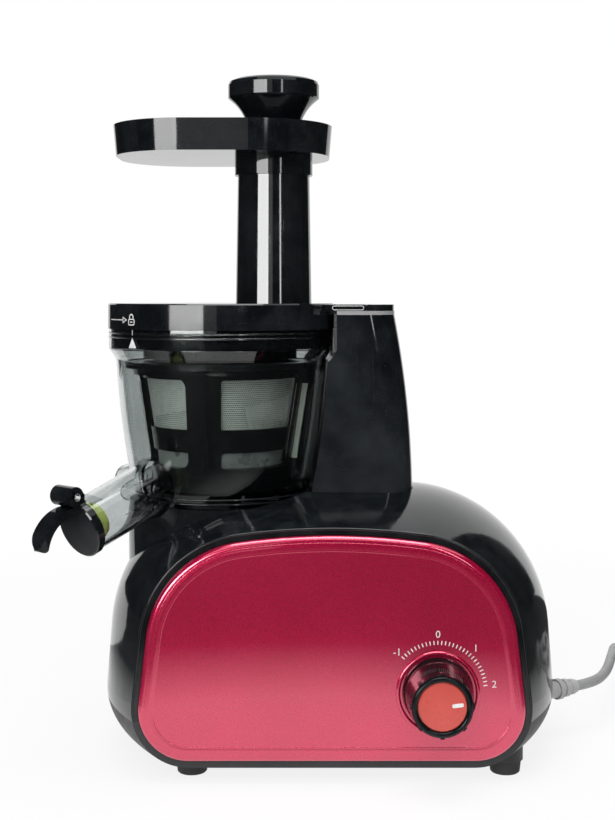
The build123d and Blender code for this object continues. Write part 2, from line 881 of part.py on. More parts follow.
with BuildPart() as bowl_inside:
    with BuildSketch(upright(bowl_x)):
        with BuildLine():
            Polyline((0, bowl_top), (0, floor_top), (bowl_foot_r - edge, floor_top))
            ThreePointArc((bowl_foot_r - edge, floor_top), (bowl_belly_r - bowl_wall, bowl_belly_z),
                          (bowl_neck_r - bowl_wall, bowl_neck_z))
            Polyline((bowl_neck_r - bowl_wall, bowl_neck_z), (bowl_rim_r - bowl_wall, bowl_rim_z),
                     (bowl_rim_r - bowl_wall, bowl_top), (0, bowl_top))
        make_face()
    revolve(axis=upright_axis(bowl_x))

with BuildPart() as bowl_outside:
    with BuildSketch(upright(bowl_x)):
        with BuildLine():
            Polyline((0, bowl_top), (0, seat_z), (bowl_foot_r, seat_z), (bowl_low_r, bowl_low_z))
            ThreePointArc((bowl_low_r, bowl_low_z), (bowl_belly_r, bowl_belly_z), (bowl_neck_r, bowl_neck_z))
            Polyline((bowl_neck_r, bowl_neck_z), (bowl_rim_r, bowl_rim_z), (bowl_rim_r, bowl_top),
                     (0, bowl_top))
        make_face()
    revolve(axis=upright_axis(bowl_x))

with BuildPart() as juice_bowl:
    add(bowl_outside.part)
    add(bowl_inside.part, mode=Mode.SUBTRACT)
    with BuildSketch(level(bowl_x, seat_z)):
        Circle(bowl_foot_r - bowl_wall)
    extrude(amount=bowl_recess, mode=Mode.SUBTRACT)
    for mouth, spout_r in ((juice_mouth, juice_r), (pulp_mouth, pulp_r)):
        with BuildSketch(mouth):
            Circle(spout_r - spout_wall)
        extrude(amount=spout_wall - spout_depth, mode=Mode.SUBTRACT)
    with BuildSketch(level(bowl_x, seat_z)):
        Circle(hole_r)
    extrude(amount=floor_top - seat_z, mode=Mode.SUBTRACT)
    with BuildSketch(level(bowl_x, floor_top)):
        with PolarLocations(mesh_centre, 2, start_angle=90):
            Circle(idler_pin_r)
    extrude(amount=train_top + edge - floor_top)
    with BuildSketch(level(bowl_x, floor_top)):
        with PolarLocations(mesh_centre, 2, start_angle=90):
            Circle(idler_pin_r + brush_module)
    extrude(amount=brush_lift - slip)
    with BuildSketch(level(bowl_x, screen_top + slip)):
        with PolarLocations(flange_r, 3, start_angle=30):
            Rectangle(2 * flange_gap - slip, 4 * flange_gap)
    extrude(amount=flange_rest)
juice_bowl.part.label = "juice_bowl"
export_step(juice_bowl.part, "parts/juice_bowl.step")

with BuildPart() as juice_spout:
    with BuildSketch(juice_mouth):
        Circle(juice_r)
    extrude(amount=-spout_depth)
    for lug_x in (-barrel_half - lug_thick - slip, barrel_half + slip):
        with BuildSketch(side_plane(juice_mouth, lug_x)):
            with BuildLine():
                Polyline((juice_r - 2.5, -9.0), (juice_r - 2.5, -edge), (juice_r - 0.5, -edge),
                         (hinge_up - hinge_pin_r, hinge_out + 2.0), (hinge_up + 1.0, hinge_out + hinge_pin_r),
                         (hinge_up + hinge_pin_r + 0.5, hinge_out - 1.0), (juice_r + 2.0, -4.0), close=True)
            make_face()
        extrude(amount=lug_thick)
    with BuildSketch(side_plane(juice_mouth, -barrel_half - lug_thick)):
        with Locations((hinge_up, hinge_out)):
            Circle(hinge_pin_r)
    extrude(amount=2 * barrel_half + 2 * lug_thick)
    add(bowl_outside.part, mode=Mode.SUBTRACT)
    with BuildSketch(juice_mouth):
        Circle(juice_r - spout_wall)
    extrude(amount=-spout_depth, mode=Mode.SUBTRACT)
juice_spout.part.label = "juice_spout"
export_step(juice_spout.part, "parts/juice_spout.step")

with BuildPart() as pulp_spout:
    with BuildSketch(pulp_mouth):
        Circle(pulp_r)
    extrude(amount=-spout_depth)
    add(bowl_outside.part, mode=Mode.SUBTRACT)
    with BuildSketch(pulp_mouth):
        Circle(pulp_r - spout_wall)
    extrude(amount=-spout_depth, mode=Mode.SUBTRACT)
pulp_spout.part.label = "pulp_spout"
export_step(pulp_spout.part, "parts/pulp_spout.step")

with BuildPart() as bowl_gasket:
    with BuildSketch(level(bowl_x, floor_low)):
        Circle(hole_r)
        Circle(shaft_r + slip, mode=Mode.SUBTRACT)
    extrude(amount=bowl_floor)
bowl_gasket.part.label = "bowl_gasket"
export_step(bowl_gasket.part, "parts/bowl_gasket.step")

window_turn = 360 / window_count
window_half = sin(radians(window_share * window_turn / 2))

with BuildPart() as strainer_frame:
    revolve(cone_ring(screen_low - strainer_plate, flange_top, screen_thick, frame_out),
            axis=upright_axis(bowl_x))
    with BuildSketch(level(bowl_x, screen_low - strainer_plate)):
        Circle(screen_r(screen_low - strainer_plate) + screen_thick + frame_thick / 2)
        Circle(strainer_hole_r, mode=Mode.SUBTRACT)
    extrude(amount=strainer_plate)
    with BuildSketch(level(bowl_x, flange_low)):
        Circle(flange_r)
        Circle(screen_r(flange_top) + screen_thick, mode=Mode.SUBTRACT)
    extrude(amount=flange_thick)
    for i in range(window_count):
        turn = window_first + i * window_turn
        for z_low, z_top in ((screen_low + frame_out, band_low), (band_top, screen_top - frame_out)):
            face = window_face(turn, z_low, z_top, window_half * (screen_r(z_low) + frame_out),
                               window_half * (screen_r(z_top) + frame_out), frame_thick)
            extrude(face, amount=2 * flange_r, mode=Mode.SUBTRACT)
strainer_frame.part.label = "strainer_frame"
export_step(strainer_frame.part, "parts/strainer_frame.step")

with BuildPart() as strainer_mesh:
    revolve(cone_ring(band_low, screen_top, 0, screen_thick), axis=upright_axis(bowl_x))
strainer_mesh.part.label = "strainer_mesh"
export_step(strainer_mesh.part, "parts/strainer_mesh.step")

with BuildPart() as strainer_skirt:
    revolve(cone_ring(screen_low, band_low, 0, screen_thick), axis=upright_axis(bowl_x))
strainer_skirt.part.label = "strainer_skirt"
export_step(strainer_skirt.part, "parts/strainer_skirt.step")

# Brush cage that turns round the strainer, with its wiper blades and ring gear

arm_turn = 360 / brush_arms
blade_turns = (brush_first, brush_first + 2 * arm_turn)


def blade_face(turn):
    """Side view of a wiper blade, which stands in its arm along the radius."""
    low = band_low - 2 * blade_out
    top = brush_top - brush_hoop - 2 * blade_out
    inside = frame_out + slip
    outside = cage_out + blade_out
    with BuildSketch(radial(turn)) as face:
        with BuildLine():
            Polyline((screen_r(low) + inside, low), (screen_r(low) + outside, low),
                     (screen_r(top) + outside, top), (screen_r(top) + inside, top), close=True)
        make_face()
    return face.sketch


with BuildPart() as brush_frame:
    revolve(cone_ring(train_low, brush_top, cage_in, cage_out), axis=upright_axis(bowl_x))
    revolve(cone_ring(brush_top - brush_hoop, brush_top, cage_in, cage_out + brush_thick / 2),
            axis=upright_axis(bowl_x))
    with BuildSketch(level(bowl_x, train_low)):
        Circle(screen_r(train_low) + cage_in + edge)
        Circle(ring_out_r - edge, mode=Mode.SUBTRACT)
    extrude(amount=brush_disc)
    with BuildSketch(level(bowl_x, train_low)):
        Circle(ring_out_r)
        with BuildLine():
            Polyline(*tooth_ring(ring_teeth, ring_pitch_r - 0.85 * brush_module,
                                 ring_pitch_r + 1.2 * brush_module, 0.8, 0.42, pi / ring_teeth), close=True)
        make_face(mode=Mode.SUBTRACT)
    extrude(amount=brush_gear_width)
    for i in range(brush_arms):
        turn = brush_first + (i + 0.5) * arm_turn
        z_low = screen_low + frame_out
        z_top = brush_top - brush_hoop
        face = window_face(turn, z_low, z_top, brush_open_low * (screen_r(z_low) + cage_out),
                           brush_open_top * (screen_r(z_top) + cage_out), 2 * brush_thick)
        extrude(face, amount=2 * flange_r, mode=Mode.SUBTRACT)
    for turn in blade_turns:
        extrude(blade_face(turn), amount=blade_thick / 2, both=True, mode=Mode.SUBTRACT)
brush_frame.part.label = "brush_frame"
export_step(brush_frame.part, "parts/brush_frame.step")

for number, turn in enumerate(blade_turns, 1):
    with BuildPart() as wiper_blade:
        extrude(blade_face(turn), amount=blade_thick / 2, both=True)
    wiper_blade.part.label = f"wiper_blade_{number}"
    export_step(wiper_blade.part, f"parts/wiper_blade_{number}.step")

for number, side in enumerate((1, -1), 1):
    with BuildPart() as idler_gear:
        with BuildSketch(Plane((bowl_x, axis_y + side * mesh_centre, train_low))):
            with BuildLine():
                Polyline(*gear_points(idler_teeth, brush_module, side * pi / 2), close=True)
            make_face()
            Circle(idler_pin_r + run, mode=Mode.SUBTRACT)
        extrude(amount=brush_gear_width)
    idler_gear.part.label = f"idler_gear_{number}"
    export_step(idler_gear.part, f"parts/idler_gear_{number}.step")

# Auger: core with its sun gear and hexagonal socket, and two helical flights trimmed to the screen

auger_low = screen_low + edge
auger_disc = auger_low + sheet
flight_low = auger_disc + flight_thick / 2
flight_top = screen_top - sheet
flight_in = auger_core_r / 2
flight_mid = (flight_in + screen_top_r) / 2
neck_r = brush_module * (sun_teeth / 2 - 1.2)
disc_r = screen_low_r - auger_gap - slip
pin_top = flange_top + pin_height

with BuildPart() as flight_room:
    with BuildSketch(upright(bowl_x)):
        with BuildLine():
            Polyline((0, auger_low), (screen_r(auger_low) - auger_gap, auger_low),
                     (screen_r(flight_top) - auger_gap, flight_top), (0, flight_top), close=True)
        make_face()
    revolve(axis=upright_axis(bowl_x))

with BuildPart() as auger:
    for i in range(flight_count):
        turn = radians(i * 360 / flight_count)
        start = Plane((bowl_x, axis_y, flight_low), x_dir=(cos(turn), sin(turn), 0), z_dir=(0, 0, 1))
        with BuildLine(start) as path:
            Helix(pitch=flight_pitch, height=flight_top - flight_low - flight_thick, radius=flight_mid)
        with BuildSketch(Plane(path.line @ 0, x_dir=start.x_dir, z_dir=path.line % 0)):
            Rectangle(screen_top_r - flight_in, flight_thick)
        sweep(path=path.line, is_frenet=True)
    add(flight_room.part, mode=Mode.INTERSECT)
    with BuildSketch(upright(bowl_x)):
        with BuildLine():
            Polyline((0, train_low), (neck_r, train_low), (neck_r, auger_low), (disc_r, auger_low),
                     (disc_r, auger_disc), (auger_root_r, flight_low),
                     (auger_core_r, flight_top - flight_thick), (pin_r, flight_top + flight_thick),
                     (pin_r, pin_top), (0, pin_top), close=True)
        make_face()
    revolve(axis=upright_axis(bowl_x))
    with BuildSketch(level(bowl_x, train_low)):
        with BuildLine():
            Polyline(*gear_points(sun_teeth, brush_module), close=True)
        make_face()
    extrude(amount=brush_gear_width)
    with BuildSketch(level(bowl_x, train_low)):
        RegularPolygon(hex_flats / 2 + slip, 6, major_radius=False)
    extrude(amount=shaft_end + edge - train_low, mode=Mode.SUBTRACT)
auger.part.label = "auger"
export_step(auger.part, "parts/auger.step")

# Flip cap of the juice spout

cap_r = juice_r + cap_over
cap_front = cap_gap + cap_thick

lever_end = lever_reach + lever_thick / 2
lever_plan = Plane(juice_mouth.origin, x_dir=juice_mouth.z_dir, z_dir=juice_mouth.y_dir)

with BuildPart() as cap_lever:
    with BuildSketch(side_plane(juice_mouth, -lever_half)):
        with BuildLine(mode=Mode.PRIVATE) as hook:
            ThreePointArc((cap_r - lever_thick, cap_front), (cap_r - 0.7 * lever_thick, lever_arch),
                          (lever_tip, lever_reach))
        SlotArc(hook.line.edge(), lever_thick)
    extrude(amount=2 * lever_half)
    with BuildSketch(lever_plan) as plan:
        with BuildLine():
            Polyline((0, -lever_half), (lever_end, -lever_half), (lever_end, lever_half), (0, lever_half),
                     close=True)
        make_face()
        fillet(plan.vertices().group_by(Axis.X)[-1], lever_round)
    extrude(amount=2 * cap_r, both=True, mode=Mode.INTERSECT)

with BuildPart() as juice_cap:
    with BuildSketch(juice_mouth.offset(cap_gap)):
        Circle(cap_r)
    extrude(amount=cap_thick)
    chamfer(juice_cap.edges(), edge)
    with BuildSketch(side_plane(juice_mouth, -barrel_half)):
        with Locations((hinge_up, hinge_out)):
            Circle(barrel_r)
    extrude(amount=2 * barrel_half)
    with BuildSketch(side_plane(juice_mouth, -lever_half)):
        with BuildLine():
            Polyline((cap_r - lever_thick, cap_gap), (cap_r - lever_thick, cap_front + edge),
                     (hinge_up - edge, hinge_out + barrel_r - edge), (hinge_up, hinge_out),
                     (hinge_up - edge, hinge_out - barrel_r + edge), (cap_r - edge, cap_gap), close=True)
        make_face()
    extrude(amount=2 * lever_half)
    add(cap_lever.part)
    with BuildSketch(side_plane(juice_mouth, -barrel_half)):
        with Locations((hinge_up, hinge_out)):
            Circle(hinge_pin_r + run)
    extrude(amount=2 * barrel_half, mode=Mode.SUBTRACT)
    with BuildSketch(juice_mouth.offset(cap_gap)):
        Circle(cap_r)
    extrude(amount=-seal_depth, mode=Mode.SUBTRACT)
juice_cap.part.label = "juice_cap"
export_step(juice_cap.part, "parts/juice_cap.step")

seal_r = juice_r - spout_wall - seal_gap

with BuildPart() as cap_seal:
    with BuildSketch(juice_mouth.offset(cap_gap)):
        Circle(seal_r)
    with BuildSketch(juice_mouth.offset(cap_gap - seal_depth)):
        Circle(seal_r - seal_depth * tan(radians(seal_taper)))
    loft()
    with BuildSketch(juice_mouth.offset(cap_gap)):
        Circle(seal_r - seal_depth * tan(radians(seal_taper)) - seal_wall)
    extrude(amount=-seal_depth, mode=Mode.SUBTRACT)
cap_seal.part.label = "cap_seal"
export_step(cap_seal.part, "parts/cap_seal.step")

# Lid with its feed chute and ear, tray and pusher

skirt_r = bowl_rim_r - bowl_wall - slip
skirt_low = bowl_rim_z + slip
hub_low = flange_top + lid_wall

with BuildPart() as chute_outside:
    with BuildSketch(level(chute_x, lid_under)):
        Circle(chute_low_r)
    with BuildSketch(level(chute_x, chute_top)):
        Circle(chute_top_r)
    loft()

with BuildPart() as lid:
    with BuildSketch(upright(bowl_x)):
        with BuildLine():
            Polyline((0, lid_top), (lid_r - edge, lid_top), (lid_r, lid_top - edge), (lid_r, bowl_top),
                     (skirt_r, bowl_top), (skirt_r, skirt_low), (skirt_r - lid_wall, skirt_low),
                     (skirt_r - lid_wall, lid_under), (0, lid_under), close=True)
        make_face()
    revolve(axis=upright_axis(bowl_x))
    with BuildSketch(level(bowl_x, hub_low)):
        Circle(pin_r + hub_wall)
    extrude(amount=lid_under - hub_low)
    with BuildSketch(level(bowl_x, hub_low)):
        Circle(pin_r + run)
    extrude(amount=pin_top + edge - hub_low, mode=Mode.SUBTRACT)
    add(chute_outside.part, mode=Mode.SUBTRACT)
    extrude(ear_face(cap_low + slip, 0), amount=ear_height)
lid.part.label = "lid"
export_step(lid.part, "parts/lid.step")

with BuildPart() as lid_funnel:
    with BuildSketch(level(bowl_x, hub_low)):
        Circle(screen_top_r + lid_wall)
        Circle(screen_top_r, mode=Mode.SUBTRACT)
    extrude(amount=lid_under - hub_low)
    with BuildSketch(level(chute_x, hub_low)):
        Circle(chute_bore_r)
    extrude(amount=lid_under - hub_low, mode=Mode.SUBTRACT)
lid_funnel.part.label = "lid_funnel"
export_step(lid_funnel.part, "parts/lid_funnel.step")

with BuildPart() as feed_chute:
    add(chute_outside.part)
    with BuildSketch(level(chute_x, lid_under)):
        Circle(chute_bore_r)
    extrude(amount=chute_top - lid_under, mode=Mode.SUBTRACT)
feed_chute.part.label = "feed_chute"
export_step(feed_chute.part, "parts/feed_chute.step")


def tray_face(z, inset):
    """Plan of the tray: a wide round end at the chute and softer corners at the other."""
    left = -tray_left + inset
    right = tray_right - inset
    front = -tray_front + inset
    back = tray_back - inset
    with BuildSketch(level(chute_x, z)) as face:
        with BuildLine():
            Polyline((left, front), (right, front), (right, back), (left, back), close=True)
        make_face()
        fillet(face.vertices().group_by(Axis.X)[-1], tray_end_r - inset)
        fillet(face.vertices().group_by(Axis.X)[0], tray_corner_r - inset)
    return face.sketch


tray_draw = (tray_top - chute_top) * tan(radians(tray_taper))
collar_r = chute_top_r + chute_draft * collar_drop / chute_height

with BuildPart() as tray:
    loft([tray_face(chute_top, tray_draw), tray_face(tray_top, 0)])
    loft([tray_face(chute_top + tray_floor, tray_draw + tray_wall), tray_face(tray_top + edge, tray_wall)],
         mode=Mode.SUBTRACT)
    with BuildSketch(level(chute_x, chute_top)):
        Circle(collar_r + slip + collar_wall)
        Circle(collar_r + slip, mode=Mode.SUBTRACT)
    extrude(amount=-collar_drop)
    with BuildSketch(level(chute_x, chute_top)):
        Circle(chute_bore_r)
    extrude(amount=tray_floor, mode=Mode.SUBTRACT)
tray.part.label = "tray"
export_step(tray.part, "parts/tray.step")

pusher_bore_r = pusher_neck_r - pusher_wall

with BuildPart() as pusher:
    with BuildSketch(upright(chute_x)):
        with BuildLine():
            Polyline((0, pusher_top - pusher_skin), (pusher_bore_r, pusher_top - pusher_skin),
                     (pusher_bore_r, pusher_low + pusher_wall), (0, pusher_low + pusher_wall),
                     (0, pusher_low), (pusher_r, pusher_low), (pusher_r, chute_top - pusher_step),
                     (pusher_neck_r, chute_top + pusher_step), (pusher_neck_r, pusher_neck_z))
            ThreePointArc((pusher_neck_r, pusher_neck_z),
                          (0.65 * pusher_neck_r + 0.35 * pusher_rim_r, pusher_neck_z + 0.54 * pusher_flare),
                          (pusher_rim_r - edge, pusher_rim_z))
            Polyline((pusher_rim_r - edge, pusher_rim_z), (pusher_rim_r, pusher_rim_z + edge),
                     (pusher_rim_r, pusher_top - 4 * edge), (pusher_rim_r - edge, pusher_top - 1.5 * edge),
                     (pusher_rim_r - 4 * edge, pusher_top), (0, pusher_top), (0, pusher_top - pusher_skin))
        make_face()
    revolve(axis=upright_axis(chute_x))
pusher.part.label = "pusher"
export_step(pusher.part, "parts/pusher.step")

# Control board

board_top = floor_in + board_lift + board_thick

with BuildPart() as control_board:
    with BuildSketch(level(base_x + board_x, floor_in + board_lift)):
        Rectangle(board_size, board_size)
    extrude(amount=board_thick)
    with BuildSketch(level(base_x + board_x, board_top)):
        with Locations((-board_size / 4, board_size / 5), (board_size / 5, board_size / 6)):
            Circle(board_size / 8)
        with Locations((0, -board_size / 4)):
            Rectangle(board_size / 2, board_size / 4)
    extrude(amount=block_height)
control_board.part.label = "control_board"
export_step(control_board.part, "parts/control_board.step")

# Mains lead: strain relief, free stretch, coil, tie and plug

tie_gap = 0.1
rib_pitch = (gland_reach - 2 * sheet) / 3

with BuildPart() as cord_gland:
    with BuildSketch(gland_plane.offset(-gland_in - sheet)):
        Circle(gland_neck_r + 2.0)
    extrude(amount=sheet)
    with BuildSketch(gland_plane.offset(-gland_in)):
        Circle(gland_neck_r)
    extrude(amount=gland_in + 2 * sheet)
    with BuildSketch(gland_plane.offset(2 * sheet)):
        Circle(gland_neck_r)
    with BuildSketch(gland_plane.offset(gland_reach)):
        Circle(lead_r + edge)
    loft()
    for i in range(3):
        with BuildSketch(gland_plane.offset(2 * sheet + rib_pitch * i)):
            Circle(gland_rib_r - edge * i)
        extrude(amount=0.6 * rib_pitch)
cord_gland.part.label = "cord_gland"
export_step(cord_gland.part, "parts/cord_gland.step")

layer_one = lead_r + tie_thick + tie_gap
layer_two = layer_one + coil_layer
lead_end = 2 * lead_r
coil_in_x = coil_x - coil_outer_r
coil_in_y = coil_y - lead_end
lead_start = gland_plane.from_local_coords(Vector(0, 0, gland_reach))
route = [
    (lead_start.X, lead_start.Y, lead_start.Z),
    (176.4, 34.0, gland_z),
    (187.4, 49.0, 31.5),
    (195.6, 71.5, 35.5),
    (204.5, 102.0, 36.0),
    (213.0, 127.5, 24.0),
    (221.0, 149.5, 13.0),
    (228.0, 166.0, 5.9),
    (coil_in_x, coil_in_y - 12.0, layer_one),
    (coil_in_x, coil_in_y, layer_one),
]


def corner_radii(points):
    """Largest arcs that fit the runs of a route."""
    radii = []
    for a, b, c in zip(points, points[1:], points[2:]):
        go = Vector(b) - Vector(a)
        on = Vector(c) - Vector(b)
        half_turn = radians(go.get_angle(on)) / 2
        radii.append(0.45 * min(go.length, on.length) / tan(half_turn))
    return radii


lead_radii = corner_radii(route)
print("lead radii", [round(r, 1) for r in lead_radii])

with BuildPart() as cord_lead:
    with BuildLine() as lead_line:
        FilletPolyline(*route, radius=lead_radii)
    with BuildSketch(Plane(lead_start, z_dir=gland_way)):
        Circle(lead_r)
    sweep(path=lead_line.line)
cord_lead.part.label = "cord_lead"
export_step(cord_lead.part, "parts/cord_lead.step")
lead_length = lead_line.wire().length
print("lead length", round(lead_length, 1),
      "volume share", round(cord_lead.part.volume / (pi * lead_r ** 2 * lead_length), 4))

climb_turns = 0.5
all_turns = 2 * coil_turns + climb_turns


def coil_point(t):
    """Point of the coil after t turns: in on the floor, up in the middle half turn, and out again on top."""
    r = coil_outer_r - coil_step * min(t, all_turns - t)
    climb = min(max((t - coil_turns) / climb_turns, 0), 1)
    angle = pi - 2 * pi * t
    return Vector(coil_x + r * cos(angle), coil_y + r * sin(angle), layer_one + coil_layer * climb)


def coil_way(t):
    """Direction of the coil after t turns; square to the radius at its two ends."""
    angle = pi - 2 * pi * t
    if t in (0, all_turns):
        return Vector(sin(angle), -cos(angle), 0)
    return (coil_point(t + 0.05) - coil_point(t - 0.05)).normalized()


def biarc(p, t, q, u):
    """Two arcs from p to q that leave along t and arrive along u."""
    v = q - p
    a = 2 * (1 - t.dot(u))
    b = v.dot(t + u)
    d = (sqrt(b * b + a * v.dot(v)) - b) / a
    leave = p + t * d
    arrive = q - u * d
    middle = (leave + arrive) / 2
    TangentArc(p, middle, tangent=t)
    TangentArc(middle, q, tangent=arrive - leave)


steps = int(4 * all_turns)
with BuildPart() as cord_coil:
    with BuildLine() as coil_line:
        Line(coil_point(0) - coil_way(0) * lead_end, coil_point(0))
        for i in range(steps):
            a = i / 4
            b = (i + 1) / 4
            biarc(coil_point(a), coil_way(a), coil_point(b), coil_way(b))
        Line(coil_point(all_turns), coil_point(all_turns) + coil_way(all_turns) * lead_end)
    with BuildSketch(Plane(coil_line.wire() @ 0, z_dir=coil_way(0))):
        Circle(lead_r)
    sweep(path=coil_line.line)
cord_coil.part.label = "cord_coil"
export_step(cord_coil.part, "parts/cord_coil.step")

coil_wire = coil_line.wire()
coil_length = coil_wire.length
marks = [coil_wire @ (i / 400) for i in range(401)]
apart = int(400 * pi * coil_outer_r / coil_length)
least = min((marks[i] - marks[j]).length for i in range(401) for j in range(i + apart, 401))
print("coil length", round(coil_length, 1), "least gap", round(least - 2 * lead_r, 2),
      "volume share", round(cord_coil.part.volume / (pi * lead_r ** 2 * coil_length), 4))

tie_inner = coil_outer_r - coil_step * all_turns / 2 - lead_r - edge
tie_outer = coil_outer_r + lead_r + slip
tie_height = layer_two + lead_r + tie_gap + tie_thick
with BuildPart() as cord_tie:
    with BuildSketch(Plane((coil_x, coil_y, 0), x_dir=(0, 1, 0), z_dir=(1, 0, 0))):
        with Locations(((tie_inner + tie_outer) / 2, tie_height / 2)):
            Rectangle(tie_outer - tie_inner + 2 * tie_thick, tie_height)
            Rectangle(tie_outer - tie_inner, tie_height - 2 * tie_thick, mode=Mode.SUBTRACT)
    extrude(amount=tie_width / 2, both=True)
cord_tie.part.label = "cord_tie"
export_step(cord_tie.part, "parts/cord_tie.step")

plug_plane = Plane(coil_wire @ 1, x_dir=(1, 0, 0), z_dir=coil_way(all_turns))
plug_back = plug_neck + plug_flare
with BuildPart() as plug_body:
    with BuildSketch(plug_plane):
        Circle(lead_r + edge)
    extrude(amount=plug_neck)
    with BuildSketch(plug_plane.offset(plug_neck)):
        Circle(lead_r + edge)
    with BuildSketch(plug_plane.offset(plug_back)):
        Circle(layer_two - edge)
    loft()
    with BuildSketch(plug_plane.offset(plug_back)):
        Circle(layer_two)
    extrude(amount=plug_length - plug_back)
    chamfer(plug_body.faces().sort_by(Axis.Y)[0].edges(), edge)
plug_body.part.label = "plug_body"
export_step(plug_body.part, "parts/plug_body.step")

with BuildPart() as plug_blades:
    with BuildSketch(plug_plane.offset(plug_length)):
        with Locations((-blade_gap / 2, 0), (blade_gap / 2, 0)):
            Rectangle(1.5, 6.4)
    extrude(amount=blade_length)
plug_blades.part.label = "plug_blades"
export_step(plug_blades.part, "parts/plug_blades.step")
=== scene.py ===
"""Dresses the electric juicer: finishes of its moulded pieces, printed marks, strainer screen and lead."""

from math import cos, pi, radians, sin, sqrt

import bmesh
import bpy
from mathutils import Matrix, Vector
from mathutils.geometry import convex_hull_2d


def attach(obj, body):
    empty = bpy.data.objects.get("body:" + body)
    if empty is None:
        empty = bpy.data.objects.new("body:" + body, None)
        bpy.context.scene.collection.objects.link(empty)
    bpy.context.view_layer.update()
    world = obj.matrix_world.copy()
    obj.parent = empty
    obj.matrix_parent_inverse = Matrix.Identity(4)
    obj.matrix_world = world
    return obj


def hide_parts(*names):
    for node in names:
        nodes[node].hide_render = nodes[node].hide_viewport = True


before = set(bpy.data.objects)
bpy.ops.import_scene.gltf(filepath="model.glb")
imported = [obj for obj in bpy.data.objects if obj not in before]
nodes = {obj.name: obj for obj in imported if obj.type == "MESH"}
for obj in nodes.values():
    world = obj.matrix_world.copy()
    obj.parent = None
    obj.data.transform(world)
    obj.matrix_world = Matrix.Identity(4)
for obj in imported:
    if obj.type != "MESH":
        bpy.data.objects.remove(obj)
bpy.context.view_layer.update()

# Places on the juicer, in metres
bowl_x, bowl_y = -0.0633, 0.015  # axis of the bowl
knob_x, knob_z = 0.0655, 0.0525  # axis of the knob
knob_front_y = -0.1011
panel_y = -0.0735  # flat face of the red panel
rim_y = -0.07  # front edge of the housing
print_z = 0.0541  # centre of the dial's ticks and numbers
lid_r = 0.0712
rim_r = 0.0706  # the bowl's rim

# The photograph's camera, in pixels
photo_height = 820.0
focal_length = 1401.0
horizon_row = 295.0


def put(name, data):
    """A new object in the scene."""
    thing = bpy.data.objects.new(name, data)
    bpy.context.collection.objects.link(thing)
    return thing


def set_camera():
    """Stands where the photograph was taken from, level, with the lens shifted down."""
    lens = bpy.data.cameras.new("photo_camera")
    lens.sensor_fit = "VERTICAL"
    lens.sensor_height = 36.0
    lens.lens = focal_length / photo_height * lens.sensor_height
    lens.shift_y = (horizon_row - photo_height / 2) / photo_height
    camera = put("photo_camera", lens)
    camera.location = (-0.0089, -0.872, 0.2795)
    camera.rotation_euler = (pi / 2, 0.0, 0.0)
    bpy.context.scene.camera = camera


set_camera()
bpy.context.scene.view_settings.view_transform = "Standard"


# Finishes: each helper adds one kind of node

def begin_finish(name):
    """A new finish with its tree, its shader and the place on the object."""
    finish = bpy.data.materials.new(name)
    finish.use_nodes = True
    tree = finish.node_tree
    shader = tree.nodes["Principled BSDF"]
    place = tree.nodes.new("ShaderNodeTexCoord").outputs["Object"]
    return finish, tree, shader, place


def drawn_out(tree, place, scale, turn=(0.0, 0.0, 0.0)):
    """The place turned and scaled, so that a texture on it is drawn out."""
    mapping = tree.nodes.new("ShaderNodeMapping")
    mapping.inputs["Rotation"].default_value = turn
    mapping.inputs["Scale"].default_value = scale
    tree.links.new(place, mapping.inputs["Vector"])
    return mapping.outputs["Vector"]


def mottle(tree, place, scale, detail=3.0, rough=0.55):
    """Noise, as one value."""
    noise = tree.nodes.new("ShaderNodeTexNoise")
    noise.inputs["Scale"].default_value = scale
    noise.inputs["Detail"].default_value = detail
    noise.inputs["Roughness"].default_value = rough
    tree.links.new(place, noise.inputs["Vector"])
    return noise.outputs["Fac"]


def cells(tree, place, scale, output):
    """A Voronoi texture's output of that name."""
    voronoi = tree.nodes.new("ShaderNodeTexVoronoi")
    voronoi.inputs["Scale"].default_value = scale
    tree.links.new(place, voronoi.inputs["Vector"])
    return voronoi.outputs[output]


def spread(tree, value, low, high, to_low=0.0, to_high=1.0):
    """Stretches one range of a value to another."""
    remap = tree.nodes.new("ShaderNodeMapRange")
    remap.inputs["From Min"].default_value = low
    remap.inputs["From Max"].default_value = high
    remap.inputs["To Min"].default_value = to_low
    remap.inputs["To Max"].default_value = to_high
    tree.links.new(value, remap.inputs["Value"])
    return remap.outputs["Result"]


def reckon(tree, operation, first, second=0.0):
    """A Math node on two sockets or numbers, or on the first alone."""
    node = tree.nodes.new("ShaderNodeMath")
    node.operation = operation
    for socket, value in zip(node.inputs, (first, second)):
        if isinstance(value, (int, float)):
            socket.default_value = value
        else:
            tree.links.new(value, socket)
    return node.outputs["Value"]


def shades(tree, value, *stops):
    """Colours along a value, as (position, colour) stops."""
    ramp = tree.nodes.new("ShaderNodeValToRGB")
    elements = ramp.color_ramp.elements
    while len(elements) < len(stops):
        elements.new(0.5)
    for element, (position, colour) in zip(elements, stops):
        element.position = position
        element.color = (*colour, 1.0)
    tree.links.new(value, ramp.inputs["Fac"])
    return ramp.outputs["Color"]


def relief(tree, shader, height, depth, strength):
    """Bumps a shader's surface by a value."""
    bump = tree.nodes.new("ShaderNodeBump")
    bump.inputs["Strength"].default_value = strength
    bump.inputs["Distance"].default_value = depth
    tree.links.new(height, bump.inputs["Height"])
    tree.links.new(bump.outputs["Normal"], shader.inputs["Normal"])


def distance_out(tree, place):
    """Distance of a place from the origin."""
    away = tree.nodes.new("ShaderNodeVectorMath")
    away.operation = "LENGTH"
    tree.links.new(place, away.inputs[0])
    return away.outputs["Value"]


def show_mix(tree, share, first, second, output="Material Output"):
    """Sends a mix of two shaders to the tree's output."""
    mix = tree.nodes.new("ShaderNodeMixShader")
    for socket, value in zip(mix.inputs, (share, first, second)):
        tree.links.new(value, socket)
    tree.links.new(mix.outputs["Shader"], tree.nodes[output].inputs["Surface"])


